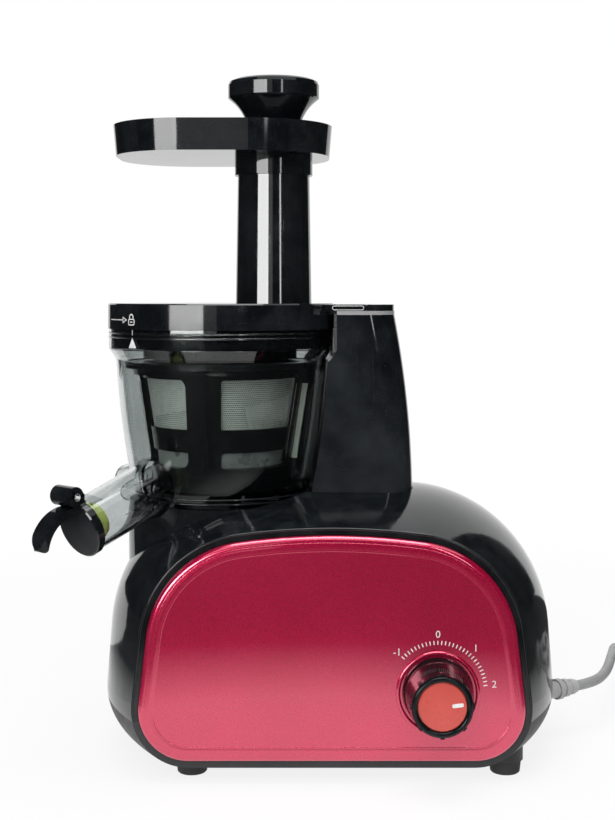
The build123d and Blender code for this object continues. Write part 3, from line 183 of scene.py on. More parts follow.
def tune(finish, **values):
    """Sets sockets of a finish's shader by name, with _ for a space."""
    for label, value in values.items():
        finish.node_tree.nodes["Principled BSDF"].inputs[label.replace("_", " ")].default_value = value
    return finish


def hairlines(tree, place):
    """Fine scratches in three directions, as one value."""
    total = None
    for scale, turn in (((2400.0, 14.0, 12.0), (0.2, 0.5, 0.9)), ((12.0, 14.0, 2600.0), (0.15, -0.1, 0.4)),
                        ((2000.0, 2000.0, 11.0), (0.5, -0.35, 0.2))):
        line = spread(tree, mottle(tree, drawn_out(tree, place, scale, turn), 1.0, detail=1.0), 0.66, 0.8)
        total = line if total is None else reckon(tree, "MAXIMUM", total, line)
    patches = spread(tree, mottle(tree, place, 24.0, detail=2.0), 0.42, 0.68)
    return reckon(tree, "MULTIPLY", total, patches)


def gloss_black(name, haze_and_sheen=0.15, patches=60.0):
    """Polished black moulding with smears, hairlines, a little dust and patches of lighter grey: real haze at the
    default strength, painted sheen where the patches are made large and strong.
    """
    finish, tree, shader, place = begin_finish(name)
    smears = mottle(tree, place, 30.0, detail=5.0, rough=0.6)
    lines = hairlines(tree, place)
    dust = spread(tree, mottle(tree, place, 1500.0, detail=0.0), 0.74, 0.82)
    haze_and_sheen_noise = mottle(tree, place, patches, detail=6.0, rough=0.6)
    wear = reckon(tree, "ADD", reckon(tree, "MULTIPLY", lines, 0.16), reckon(tree, "MULTIPLY", dust, 0.3))
    # Patches of lighter base colour: real haze when weak, a painted sheen when made large and strong, as on the tower
    wear = reckon(tree, "ADD", wear, spread(tree, haze_and_sheen_noise, 0.4, 0.72, 0.0, haze_and_sheen))
    tree.links.new(shades(tree, wear, (0.0, (0.0035, 0.0046, 0.0055)), (1.0, (0.062, 0.07, 0.075))),
                   shader.inputs["Base Color"])
    rough = reckon(tree, "ADD", spread(tree, smears, 0.3, 0.75, 0.04, 0.13), reckon(tree, "MULTIPLY", lines, 0.12))
    tree.links.new(rough, shader.inputs["Roughness"])
    relief(tree, shader, lines, depth=0.00002, strength=0.35)
    return finish


def crimson_panel():
    """Red metallic paint with fine flakes under a clear coat."""
    finish, tree, shader, place = begin_finish("crimson_flake_paint")
    flakes = cells(tree, place, 2600.0, "Color")
    flash = tree.nodes.new("ShaderNodeSeparateColor")
    tree.links.new(flakes, flash.inputs["Color"])
    tone = reckon(tree, "ADD", reckon(tree, "MULTIPLY", flash.outputs["Red"], 0.3),
                  reckon(tree, "MULTIPLY", mottle(tree, place, 14.0, detail=3.0), 0.7))
    tree.links.new(shades(tree, tone, (0.1, (0.54, 0.004, 0.05)), (0.5, (0.64, 0.006, 0.07)),
                          (0.95, (0.74, 0.018, 0.105))), shader.inputs["Base Color"])
    shader.inputs["Metallic"].default_value = 0.62
    tree.links.new(spread(tree, flash.outputs["Green"], 0.0, 1.0, 0.15, 0.25), shader.inputs["Roughness"])
    relief(tree, shader, flash.outputs["Blue"], depth=0.00001, strength=0.12)
    shader.inputs["Coat Weight"].default_value = 1.0
    shader.inputs["Coat Roughness"].default_value = 0.05
    shader.inputs["Coat IOR"].default_value = 1.85
    return finish


def matt_moulding(name, dark, light, rough, grain=1300.0, depth=0.00005):
    """Moulded plastic or rubber with a fine spark-eroded grain and uneven tone."""
    finish, tree, shader, place = begin_finish(name)
    tone = reckon(tree, "ADD", reckon(tree, "MULTIPLY", mottle(tree, place, 45.0, detail=4.0), 0.7),
                  reckon(tree, "MULTIPLY", mottle(tree, place, 620.0, detail=2.0), 0.3))
    tree.links.new(shades(tree, tone, (0.3, dark), (0.7, light)), shader.inputs["Base Color"])
    tree.links.new(spread(tree, mottle(tree, place, 85.0, detail=3.0), 0.3, 0.7, rough - 0.07, rough + 0.08),
                   shader.inputs["Roughness"])
    relief(tree, shader, mottle(tree, place, grain, detail=2.0), depth, strength=0.6)
    return finish


def bright_metal(name, dark, light, rough, stretch=(40.0, 900.0, 900.0)):
    """Metal with fine drawn lines along one way."""
    finish, tree, shader, place = begin_finish(name)
    lines = mottle(tree, drawn_out(tree, place, stretch), 1.0, detail=3.0)
    tree.links.new(shades(tree, lines, (0.3, dark), (0.7, light)), shader.inputs["Base Color"])
    shader.inputs["Metallic"].default_value = 1.0
    tree.links.new(spread(tree, lines, 0.3, 0.7, rough - 0.06, rough + 0.08), shader.inputs["Roughness"])
    relief(tree, shader, lines, depth=0.00001, strength=0.4)
    return finish


def clear_moulding(name, deep, pale, smoked=None):
    """Clear grey-tinted plastic with smears of juice; lamps shine through it. Below the smoked height it is dark."""
    finish, tree, shader, place = begin_finish(name)
    smears = mottle(tree, place, 42.0, detail=5.0, rough=0.62)
    lines = hairlines(tree, place)
    tint = shades(tree, smears, (0.3, deep), (0.75, pale))
    if smoked:
        blur = 0.001
        height = tree.nodes.new("ShaderNodeSeparateXYZ")
        tree.links.new(place, height.inputs["Vector"])
        dim = shades(tree, spread(tree, height.outputs["Z"], smoked - blur, smoked + blur),
                     (0.0, (0.02, 0.021, 0.022)), (1.0, (1.0, 1.0, 1.0)))
        both = tree.nodes.new("ShaderNodeMix")
        both.data_type = "RGBA"
        both.blend_type = "MULTIPLY"
        both.inputs["Factor"].default_value = 1.0
        tree.links.new(tint, both.inputs["A"])
        tree.links.new(dim, both.inputs["B"])
        tint = both.outputs["Result"]
    tree.links.new(tint, shader.inputs["Base Color"])
    shader.inputs["Transmission Weight"].default_value = 1.0
    shader.inputs["IOR"].default_value = 1.49
    rough = reckon(tree, "ADD", spread(tree, smears, 0.45, 0.8, 0.004, 0.05),
                   reckon(tree, "MULTIPLY", lines, 0.08))
    tree.links.new(rough, shader.inputs["Roughness"])
    relief(tree, shader, mottle(tree, place, 60.0, detail=1.0), depth=0.00012, strength=0.2)
    way = tree.nodes.new("ShaderNodeLightPath")
    film = tree.nodes.new("ShaderNodeBsdfTransparent")
    film.inputs["Color"].default_value = (0.7, 0.73, 0.725, 1.0)
    show_mix(tree, way.outputs["Is Shadow Ray"], shader.outputs["BSDF"], film.outputs["BSDF"])
    return finish


def frosted_moulding():
    """Frosted plastic of the strainer's foot."""
    finish, tree, shader, place = begin_finish("skirt_frosted_plastic")
    smears = mottle(tree, place, 60.0, detail=4.0)
    tree.links.new(shades(tree, smears, (0.3, (0.31, 0.335, 0.32)), (0.7, (0.49, 0.52, 0.5))),
                   shader.inputs["Base Color"])
    shader.inputs["Transmission Weight"].default_value = 0.35
    tree.links.new(spread(tree, smears, 0.3, 0.7, 0.22, 0.4), shader.inputs["Roughness"])
    return finish


def printed_white():
    """White pad print, a little thin in places."""
    finish, tree, shader, place = begin_finish("printed_white")
    ink = mottle(tree, place, 900.0, detail=2.0)
    tree.links.new(shades(tree, ink, (0.3, (0.62, 0.61, 0.6)), (0.55, (0.8, 0.79, 0.78))),
                   shader.inputs["Base Color"])
    tree.links.new(spread(tree, ink, 0.3, 0.7, 0.35, 0.5), shader.inputs["Roughness"])
    return finish


def board_green():
    """Solder mask with faint tracks."""
    finish, tree, shader, place = begin_finish("board_green_mask")
    tracks = tree.nodes.new("ShaderNodeTexBrick")
    tracks.inputs["Scale"].default_value = 260.0
    tracks.inputs["Color1"].default_value = (0.020, 0.13, 0.045, 1.0)
    tracks.inputs["Color2"].default_value = (0.028, 0.16, 0.06, 1.0)
    tracks.inputs["Mortar"].default_value = (0.05, 0.22, 0.09, 1.0)
    tree.links.new(place, tracks.inputs["Vector"])
    tree.links.new(tracks.outputs["Color"], shader.inputs["Base Color"])
    tree.links.new(spread(tree, mottle(tree, place, 200.0), 0.3, 0.7, 0.25, 0.4), shader.inputs["Roughness"])
    return finish


black = gloss_black("gloss_black_moulding")
# The tower's large, strong patches of lighter grey are a painted sheen standing in for light on its faces
tower_black_painted_sheen = gloss_black("tower_black_moulding", haze_and_sheen=0.42, patches=15.0)
chute_black = tune(gloss_black("chute_black_moulding"), Specular_IOR_Level=0.95)
knob_black = tune(gloss_black("knob_black_moulding"), Specular_IOR_Level=0.2)
crimson = crimson_panel()
clear = clear_moulding("clear_spout_plastic", (0.66, 0.69, 0.685), (0.76, 0.785, 0.78))
clear_bowl = clear_moulding("clear_bowl_plastic", (0.51, 0.545, 0.54), (0.61, 0.64, 0.635), smoked=0.161)
white_print = printed_white()
scale_print = matt_moulding("bowl_scale_grey", (0.2, 0.22, 0.22), (0.3, 0.32, 0.32), 0.4)
cord_sheath = matt_moulding("cord_grey_sheath", (0.24, 0.24, 0.245), (0.34, 0.34, 0.345), 0.42, grain=700.0)
screen_steel = tune(bright_metal("screen_steel", (0.74, 0.76, 0.69), (0.92, 0.94, 0.87), 0.36), Metallic=0.2)
steel = bright_metal("machined_steel", (0.42, 0.42, 0.43), (0.62, 0.62, 0.63), 0.28, stretch=(900.0, 900.0, 60.0))
trim = matt_moulding("tower_trim_silver", (0.27, 0.27, 0.275), (0.35, 0.35, 0.355), 0.3)
satin_black = tune(matt_moulding("satin_black_moulding", (0.003, 0.0035, 0.004), (0.008, 0.0085, 0.009), 0.15,
                                 grain=900.0, depth=0.000006), Specular_IOR_Level=0.4)
gear_white = matt_moulding("gear_white_resin", (0.66, 0.65, 0.61), (0.78, 0.77, 0.73), 0.45)
wiper_white = matt_moulding("wiper_silicone", (0.6, 0.6, 0.53), (0.74, 0.73, 0.66), 0.48)
gasket_grey = matt_moulding("gasket_rubber", (0.16, 0.16, 0.16), (0.24, 0.24, 0.24), 0.6)
knob_red = tune(matt_moulding("knob_face_red", (0.54, 0.055, 0.04), (0.62, 0.075, 0.055), 0.3, grain=1500.0,
                              depth=0.00001), Coat_Weight=0.5, Coat_Roughness=0.06)
motor_metal = bright_metal("motor_can_metal", (0.36, 0.36, 0.37), (0.56, 0.56, 0.57), 0.36, stretch=(60.0, 60.0, 900.0))

finish_of = {
    black: ["base_housing", "tower_cap", "lid", "lid_funnel", "tray", "pusher", "juice_cap"],
    chute_black: ["feed_chute"],
    tower_black_painted_sheen: ["tower_shell"],
    knob_black: ["control_knob"],
    crimson: ["front_panel"],
    matt_moulding("cover_dark_grey", (0.012, 0.013, 0.015), (0.026, 0.027, 0.03), 0.5): ["bottom_cover"],
    matt_moulding("foot_rubber", (0.012, 0.012, 0.013), (0.03, 0.03, 0.031), 0.68): [
        "foot_1", "foot_2", "foot_3", "foot_4"],
    knob_red: ["knob_face"],
    trim: ["tower_trim"],
    clear: ["juice_spout", "pulp_spout"],
    clear_bowl: ["juice_bowl"],
    screen_steel: ["strainer_mesh"],
    frosted_moulding(): ["strainer_skirt"],
    satin_black: ["strainer_frame", "brush_frame", "auger", "idler_gear_1", "idler_gear_2", "seat_pad"],
    wiper_white: ["wiper_blade_1", "wiper_blade_2"],
    matt_moulding("seal_green_silicone", (0.42, 0.5, 0.1), (0.58, 0.66, 0.2), 0.35): ["cap_seal"],
    gasket_grey: ["bowl_gasket", "shaft_seal"],
    steel: ["drive_shaft", "motor_pinion", "knob_spindle", "base_screws"],
    gear_white: ["output_gear", "counter_gear", "gearbox_plate", "gearbox_cover"],
    motor_metal: ["motor_can"],
    matt_moulding("switch_black_resin", (0.02, 0.02, 0.021), (0.045, 0.045, 0.046), 0.5): [
        "speed_switch", "interlock_switch"],
    board_green(): ["control_board"],
    cord_sheath: ["plug_body"],
    matt_moulding("gland_grey", (0.36, 0.36, 0.36), (0.47, 0.47, 0.47), 0.42): ["cord_gland"],
    matt_moulding("tie_black_nylon", (0.012, 0.012, 0.012), (0.026, 0.026, 0.027), 0.45): ["cord_tie"],
    bright_metal("plug_blade_brass", (0.6, 0.56, 0.44), (0.78, 0.74, 0.62), 0.2): ["plug_blades"],
}
for finish, names in finish_of.items():
    for name in names:
        if name in nodes:
            node_mesh = nodes[name].data
            node_mesh.materials.clear()
            node_mesh.materials.append(finish)


# Mains lead: the free stretch, then a tied flat coil of two layers that ends in the plug

def lead_route():
    """Places along the lead: the free stretch, in turns to the middle, up one layer, out again and to the plug."""
    route = [(0.16255, 0.026, 0.029), (0.1764, 0.034, 0.029), (0.1874, 0.049, 0.0315), (0.1956, 0.0715, 0.0355),
             (0.2045, 0.102, 0.036), (0.213, 0.1275, 0.024), (0.221, 0.1495, 0.013), (0.228, 0.166, 0.0059),
             (0.2307, 0.1765, 0.00405), (0.2307, 0.1885, 0.00405)]
    coil_x, coil_y, coil_r = 0.2735, 0.195, 0.0428
    turns, per_turn, pitch = 4.5, 16, 0.0074
    lower_z, layer = 0.00405, 0.0072
    for i in range(int(turns * per_turn) + 1):
        t = i / per_turn
        r = coil_r - pitch * min(t, turns - t)
        climb = min(max((t - 2.0) / 0.5, 0.0), 1.0)
        angle = pi - 2 * pi * t
        route.append((coil_x + r * cos(angle), coil_y + r * sin(angle), lower_z + layer * climb))
    route.append((0.3163, 0.1885, 0.01125))
    return route


def make_lead():
    route = lead_route()
    curve = bpy.data.curves.new("mains_lead", "CURVE")
    curve.dimensions = "3D"
    spline = curve.splines.new("NURBS")
    spline.points.add(len(route) - 1)
    for point, place in zip(spline.points, route):
        point.co = (*place, 1.0)
    spline.order_u = 3
    spline.use_endpoint_u = True
    spline.resolution_u = 6
    curve.bevel_depth = 0.00325
    curve.bevel_resolution = 4
    curve.use_fill_caps = True
    curve.materials.append(cord_sheath)
    lead = put("mains_lead", curve)
    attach(lead, "base")
    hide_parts("cord_lead", "cord_coil")


make_lead()


# Pieces grown by node trees

def new_grower(name, sizes):
    """A node tree with a named input for each size, and the sockets that carry them."""
    tree = bpy.data.node_groups.new(name, "GeometryNodeTree")
    for label, kind in sizes:
        tree.interface.new_socket(label, in_out="INPUT", socket_type=kind)
    tree.interface.new_socket("Geometry", in_out="OUTPUT", socket_type="NodeSocketGeometry")
    return tree, tree.nodes.new("NodeGroupInput").outputs


def feed(tree, node, **values):
    """Sets or links a node's inputs by name, with _ for a space."""
    for label, value in values.items():
        socket = node.inputs[label.replace("_", " ")]
        if isinstance(value, bpy.types.NodeSocket):
            tree.links.new(value, socket)
        else:
            socket.default_value = value
    return node


def place_of(tree, x, y, z):
    """A vector socket from three sockets or numbers."""
    return feed(tree, tree.nodes.new("ShaderNodeCombineXYZ"), X=x, Y=y, Z=z).outputs["Vector"]


def swung(tree, radius, turn):
    """How far a radius reaches both ways when it is turned."""
    return [reckon(tree, "MULTIPLY", radius, reckon(tree, way, turn)) for way in ("COSINE", "SINE")]


def points_about(tree, centre, spot, count):
    """Points that each lie at a spot reckoned from a centre."""
    moved = tree.nodes.new("ShaderNodeVectorMath")
    tree.links.new(spot, moved.inputs[0])
    tree.links.new(centre, moved.inputs[1])
    points = feed(tree, tree.nodes.new("GeometryNodePoints"), Count=count, Position=moved.outputs["Vector"])
    return points.outputs["Points"]


def end_grower(tree, geometry, finish):
    """Makes the instances real, gives them their finish and sends them out."""
    real = feed(tree, tree.nodes.new("GeometryNodeRealizeInstances"), Geometry=geometry)
    paint = feed(tree, tree.nodes.new("GeometryNodeSetMaterial"), Geometry=real.outputs["Geometry"], Material=finish)
    tree.links.new(paint.outputs["Geometry"], tree.nodes.new("NodeGroupOutput").inputs["Geometry"])
    return tree


def rounded_bar(tree, length, width, height):
    """A bar with round corners that lies flat, closed all round."""
    outline = feed(tree, tree.nodes.new("GeometryNodeCurvePrimitiveQuadrilateral"), Width=length, Height=width)
    corner = tree.nodes.new("GeometryNodeFilletCurve")
    corner.mode = "POLY"
    feed(tree, corner, Curve=outline.outputs["Curve"], Count=3, Radius=reckon(tree, "MULTIPLY", width, 0.35))
    face = feed(tree, tree.nodes.new("GeometryNodeFillCurve"), Curve=corner.outputs["Curve"])
    top = feed(tree, tree.nodes.new("GeometryNodeExtrudeMesh"), Mesh=face.outputs["Mesh"], Offset_Scale=height,
               Individual=False)
    under = feed(tree, tree.nodes.new("GeometryNodeFlipFaces"), Mesh=face.outputs["Mesh"])
    both = tree.nodes.new("GeometryNodeJoinGeometry")
    tree.links.new(top.outputs["Mesh"], both.inputs["Geometry"])
    tree.links.new(under.outputs["Mesh"], both.inputs["Geometry"])
    return feed(tree, tree.nodes.new("GeometryNodeMergeByDistance"), Geometry=both.outputs["Geometry"],
                Distance=0.000001).outputs["Geometry"]


def grow(name, tree, body, slot, **sizes):
    """Runs a tree with these sizes and keeps the result as a plain piece on a body."""
    piece = put(name, bpy.data.meshes.new(name))
    maker = piece.modifiers.new(name, "NODES")
    maker.node_group = tree
    for item in tree.interface.items_tree:
        label = item.name.replace(" ", "_").lower()
        if item.in_out == "INPUT" and label in sizes:
            maker[item.identifier] = sizes[label]
    depsgraph = bpy.context.evaluated_depsgraph_get()
    grown = bpy.data.meshes.new_from_object(piece.evaluated_get(depsgraph), depsgraph=depsgraph)
    piece.modifiers.remove(maker)
    piece.data = grown
    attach(piece, body)
    return piece


def tick_arc_tree():
    """Short bars on an arc that stands upright and faces the front."""
    number = "NodeSocketFloat"
    tree, size = new_grower("dial_tick_arc", [("Ticks", "NodeSocketInt"), ("Radius", number), ("First Turn", number),
                                             ("Sweep", number), ("Length", number), ("Width", number),
                                             ("Height", number), ("Centre", "NodeSocketVector")])
    index = tree.nodes.new("GeometryNodeInputIndex").outputs["Index"]
    share = reckon(tree, "DIVIDE", index, reckon(tree, "SUBTRACT", size["Ticks"], 1.0))
    turn = reckon(tree, "ADD", size["First Turn"], reckon(tree, "MULTIPLY", size["Sweep"], share))
    across, up = swung(tree, size["Radius"], turn)
    points = points_about(tree, size["Centre"], place_of(tree, across, 0.0, up), size["Ticks"])
    facing = place_of(tree, pi / 2, reckon(tree, "MULTIPLY", turn, -1.0), 0.0)
    bars = feed(tree, tree.nodes.new("GeometryNodeInstanceOnPoints"), Points=points,
                Instance=rounded_bar(tree, size["Length"], size["Width"], size["Height"]), Rotation=facing)
    return end_grower(tree, bars.outputs["Instances"], white_print)


def screen_tree():
    """A cone of small tiles, each with a round hole, in staggered rows."""
    number = "NodeSocketFloat"
    tree, size = new_grower("strainer_screen", [("Columns", "NodeSocketInt"), ("Rows", "NodeSocketInt"),
                                               ("Low Radius", number), ("Top Radius", number), ("Low", number),
                                               ("Top", number), ("Hole", number), ("Axis", "NodeSocketVector")])
    index = tree.nodes.new("GeometryNodeInputIndex").outputs["Index"]
    row = reckon(tree, "FLOOR", reckon(tree, "DIVIDE", index, size["Columns"]))
    column = reckon(tree, "ADD", reckon(tree, "MODULO", index, size["Columns"]),
                    reckon(tree, "MULTIPLY", reckon(tree, "MODULO", row, 2.0), 0.5))
    share = reckon(tree, "DIVIDE", reckon(tree, "ADD", row, 0.5), size["Rows"])
    rise = reckon(tree, "SUBTRACT", size["Top"], size["Low"])
    flare = reckon(tree, "SUBTRACT", size["Top Radius"], size["Low Radius"])
    radius = reckon(tree, "ADD", size["Low Radius"], reckon(tree, "MULTIPLY", flare, share))
    step = reckon(tree, "DIVIDE", 2 * pi, size["Columns"])
    turn = reckon(tree, "MULTIPLY", column, step)
    spot = place_of(tree, *swung(tree, radius, turn),
                    reckon(tree, "ADD", size["Low"], reckon(tree, "MULTIPLY", rise, share)))
    points = points_about(tree, size["Axis"], spot, reckon(tree, "MULTIPLY", size["Columns"], size["Rows"]))
    wide = reckon(tree, "MULTIPLY", size["Top Radius"], step)
    lean = reckon(tree, "ARCTAN2", flare, rise)
    high = reckon(tree, "DIVIDE", reckon(tree, "DIVIDE", rise, reckon(tree, "COSINE", lean)), size["Rows"])
    outline = feed(tree, tree.nodes.new("GeometryNodeCurvePrimitiveQuadrilateral"), Width=wide, Height=high)
    hole = feed(tree, tree.nodes.new("GeometryNodeCurvePrimitiveCircle"), Resolution=8, Radius=size["Hole"])
    rings = tree.nodes.new("GeometryNodeJoinGeometry")
    tree.links.new(outline.outputs["Curve"], rings.inputs["Geometry"])
    tree.links.new(hole.outputs["Curve"], rings.inputs["Geometry"])
    tile = feed(tree, tree.nodes.new("GeometryNodeFillCurve"), Curve=rings.outputs["Geometry"])
    facing = place_of(tree, reckon(tree, "ADD", lean, pi / 2), 0.0, reckon(tree, "ADD", turn, pi / 2))
    narrow = place_of(tree, reckon(tree, "DIVIDE", radius, size["Top Radius"]), 1.0, 1.0)
    tiles = feed(tree, tree.nodes.new("GeometryNodeInstanceOnPoints"), Points=points,
                 Instance=tile.outputs["Mesh"], Rotation=facing, Scale=narrow)
    return end_grower(tree, tiles.outputs["Instances"], screen_steel)


def scale_tree():
    """Short marks one above the other on the bowl's swelling wall, every fifth one longer."""
    number = "NodeSocketFloat"
    tree, size = new_grower("bowl_scale", [("Marks", "NodeSocketInt"), ("Low", number), ("Step", number),
                                          ("Turn", number), ("Swell Centre", number), ("Swell Height", number),
                                          ("Swell", number), ("Length", number), ("Width", number),
                                          ("Height", number), ("Axis", "NodeSocketVector")])
    index = tree.nodes.new("GeometryNodeInputIndex").outputs["Index"]
    rise = reckon(tree, "ADD", size["Low"], reckon(tree, "MULTIPLY", size["Step"], index))
    above = reckon(tree, "SUBTRACT", rise, size["Swell Height"])
    square = reckon(tree, "SUBTRACT", reckon(tree, "POWER", size["Swell"], 2.0),
                    reckon(tree, "MULTIPLY", above, above))
    radius = reckon(tree, "ADD", size["Swell Centre"], reckon(tree, "POWER", square, 0.5))
    spot = place_of(tree, *swung(tree, radius, size["Turn"]), rise)
    points = points_about(tree, size["Axis"], spot, size["Marks"])
    lean = reckon(tree, "ARCSINE", reckon(tree, "DIVIDE", above, size["Swell"]))
    facing = place_of(tree, reckon(tree, "SUBTRACT", pi / 2, lean), 0.0, reckon(tree, "ADD", size["Turn"], pi / 2))
    fifth = reckon(tree, "LESS_THAN", reckon(tree, "MODULO", index, 5.0), 0.5)
    longer = place_of(tree, reckon(tree, "ADD", 1.0, fifth), 1.0, 1.0)
    bars = feed(tree, tree.nodes.new("GeometryNodeInstanceOnPoints"), Points=points,
                Instance=rounded_bar(tree, size["Length"], size["Width"], size["Height"]), Rotation=facing,
                Scale=longer)
    return end_grower(tree, bars.outputs["Instances"], scale_print)


def swell_of(low, middle, high):
    """Centre radius, centre height and radius of the arc through three (radius, height) places."""
    (a, b), (c, d), (e, f) = low, middle, high
    twice = 2.0 * (a * (d - f) + c * (f - b) + e * (b - d))
    p, q, r = a * a + b * b, c * c + d * d, e * e + f * f
    x = (p * (d - f) + q * (f - b) + r * (b - d)) / twice
    z = (p * (e - c) + q * (a - e) + r * (c - a)) / twice
    return x, z, sqrt((a - x) ** 2 + (b - z) ** 2)


# The bowl's wall is an arc through three (radius, height) places
swell_x, swell_z, swell_r = swell_of((0.056, 0.160), (0.0624, 0.200), (0.0662, 0.2395))
grow("bowl_scale", scale_tree(), "bowl", "clear_bowl", marks=31, low=0.172, step=0.002, turn=radians(212.0),
     swell_centre=swell_x, swell_height=swell_z, swell=swell_r, length=0.0016, width=0.00034, height=0.00012,
     axis=(bowl_x, bowl_y, 0.0))
grow("dial_ticks", tick_arc_tree(), "base", "crimson_panel", ticks=29, radius=0.0272, first_turn=radians(137.0),
     sweep=radians(-131.0), length=0.0023, width=0.00062, height=0.00012, centre=(knob_x, panel_y, print_z))
screen = grow("strainer_screen", screen_tree(), "bowl", "screen_steel", columns=240, rows=38, low_radius=0.0402,
              top_radius=0.0474, low=0.184, top=0.231, hole=0.00038, axis=(bowl_x, bowl_y, 0.0))
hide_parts("strainer_mesh")


# Printed marks, beads and ribs

def keep_mesh(name, shape, body, finish):
    """A bmesh becomes a plain piece on a body."""
    bmesh.ops.recalc_face_normals(shape, faces=shape.faces)
    mesh = bpy.data.meshes.new(name)
    shape.to_mesh(mesh)
    shape.free()
    mesh.materials.append(finish)
    piece = put(name, mesh)
    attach(piece, body)


def add_plate(shape, outline, thick):
    """A flat plate from an outline in X and Z; its back lies at Y 0 and its front at -thick."""
    back = [shape.verts.new((x, 0.0, z)) for x, z in outline]
    front = [shape.verts.new((x, -thick, z)) for x, z in outline]
    shape.faces.new(back)
    shape.faces.new(front[::-1])
    for i in range(len(outline)):
        j = (i + 1) % len(outline)
        shape.faces.new((back[i], front[i], front[j], back[j]))


def skin(shape, rows, closed, smooth=True):
    """Faces between rows of points that each run round; open ends get a face of their own."""
    faces = []
    for a, b in zip(rows, rows[1:] + (rows[:1] if closed else [])):
        for i in range(len(a)):
            j = (i + 1) % len(a)
            faces.append(shape.faces.new((a[i], a[j], b[j], b[i])))
            faces[-1].smooth = smooth
    if not closed:
        shape.faces.new(rows[0])
        shape.faces.new(rows[-1][::-1])
    return faces


def add_band(shape, outside, inside, thick):
    """A flat closed band between two outlines of as many points."""
    rows = [[shape.verts.new((x, y, z)) for x, z in line]
            for line, y in ((outside, 0.0), (outside, -thick), (inside, -thick), (inside, 0.0))]
    skin(shape, rows, closed=True, smooth=False)


def add_strip(shape, line, width, thick):
    """A flat strip of even width along a line."""
    edges = []
    for i, (x, z) in enumerate(line):
        ax, az = line[max(i - 1, 0)]
        bx, bz = line[min(i + 1, len(line) - 1)]
        span = sqrt((bx - ax) ** 2 + (bz - az) ** 2)
        ox, oz = (az - bz) / span * width / 2, (bx - ax) / span * width / 2
        edges.append([shape.verts.new((x + side * ox, y, z + side * oz))
                      for side, y in ((1, 0.0), (1, -thick), (-1, -thick), (-1, 0.0))])
    skin(shape, edges, closed=False, smooth=False)


def round_outline(width, height, corner, steps=5):
    """Outline of a rectangle with round corners, about the origin."""
    points = []
    for k, (sx, sz) in enumerate(((1, 1), (-1, 1), (-1, -1), (1, -1))):
        for i in range(steps + 1):
            angle = (k + i / steps) * pi / 2
            points.append((sx * (width / 2 - corner) + corner * cos(angle),
                           sz * (height / 2 - corner) + corner * sin(angle)))
    return points


def shifted(outline, x, z):
    """The outline moved along X and Z."""
    return [(px + x, pz + z) for px, pz in outline]


def wrap_round(shape, turn, radius, height):
    """Bends flat marks round the bowl's axis: X runs along the arc from turn, Z is up from height."""
    bmesh.ops.triangulate(shape, faces=[f for f in shape.faces if len(f.verts) > 4])
    for vert in shape.verts:
        angle = turn + vert.co.x / radius
        r = radius - vert.co.y
        vert.co = (bowl_x + r * cos(angle), bowl_y + r * sin(angle), height + vert.co.z)


def dial_numbers():
    """Plain numbers at the four stops of the dial, each with its turn in degrees and its distance."""
    for name, text, turn, reach in (("back", "-1", 137.0, 0.0318), ("off", "0", 90.0, 0.0318),
                                    ("one", "1", 48.0, 0.0322), ("two", "2", 6.0, 0.0322)):
        lettering = bpy.data.curves.new("dial_number", "FONT")
        lettering.body = text
        lettering.size = 0.0058
        lettering.align_x = "CENTER"
        lettering.align_y = "CENTER"
        lettering.extrude = 0.00006
        lettering.resolution_u = 6
        figure = put("dial_number", lettering)
        depsgraph = bpy.context.evaluated_depsgraph_get()
        mesh = bpy.data.meshes.new_from_object(figure.evaluated_get(depsgraph), depsgraph=depsgraph)
        bpy.data.objects.remove(figure)
        place = Vector((knob_x + reach * cos(radians(turn)), panel_y, print_z + reach * sin(radians(turn))))
        mesh.transform(Matrix.Translation(place) @ Matrix.Rotation(pi / 2, 4, "X"))
        mesh.materials.clear()
        mesh.materials.append(white_print)
        piece = put("dial_number_" + name, mesh)
        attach(piece, "base")


def round_bead(name, radius, half, proud, y, body, finish):
    """Rounded bead round the knob's axis, on a flat face at Y."""
    around, across = 96, 10
    shape = bmesh.new()
    rows = []
    for i in range(around):
        turn = 2 * pi * i / around
        row = []
        for j in range(across + 1):
            swing = pi * j / across
            reach = radius - half * cos(swing)
            row.append(shape.verts.new((knob_x + reach * cos(turn), y - proud * sin(swing),
                                        knob_z + reach * sin(turn))))
        rows.append(row)
    faces = skin(shape, rows, closed=True)
    for back in faces[across::across + 1]:
        back.smooth = False
    keep_mesh(name, shape, body, finish)


def face_outline(node, y, inset, count=300):
    """Outline of a node's flat face at Y, drawn in by the inset: points in X and Z with their outward directions."""
    near = 0.00005
    flat = [Vector((v.co.x, v.co.z)) for v in nodes[node].data.vertices if abs(v.co.y - y) < near]
    ring = [flat[i] for i in convex_hull_2d(flat)]
    steps = [(b - a).length for a, b in zip(ring, ring[1:] + ring[:1])]
    pace = sum(steps) / count
    even, corner, gone = [], 0, 0.0
    for i in range(count):
        while gone + steps[corner] < i * pace:
            gone += steps[corner]
            corner += 1
        share = (i * pace - gone) / steps[corner]
        even.append(ring[corner].lerp(ring[(corner + 1) % len(ring)], share))
    outline = []
    for i, point in enumerate(even):
        along = (even[(i + 2) % count] - even[i - 2]).normalized()
        outward = Vector((along.y, -along.x))
        outline.append((point - inset * outward, outward))
    return outline


def part_above(outline, height):
    """The run of an outline that lies above a height, from one end to the other."""
    above = [spot[0].y > height for spot in outline]
    start = next(i for i in range(len(outline)) if above[i] and not above[i - 1])
    return [spot for spot in outline[start:] + outline[:start] if spot[0].y > height]


def soft_section(half, proud):
    """Section of a swell that runs out flat on both sides, closed by a sunk back."""
    sunk = -0.0002
    steps = [-1.0 + i / 8 for i in range(17)]
    return [(half * s, proud * (1.0 + cos(pi * s)) / 2) for s in steps] + [(half, sunk), (-half, sunk)]


def round_section(radius):
    """Round section of twelve places."""
    return [(radius * cos(pi * i / 6), radius * sin(pi * i / 6)) for i in range(12)]


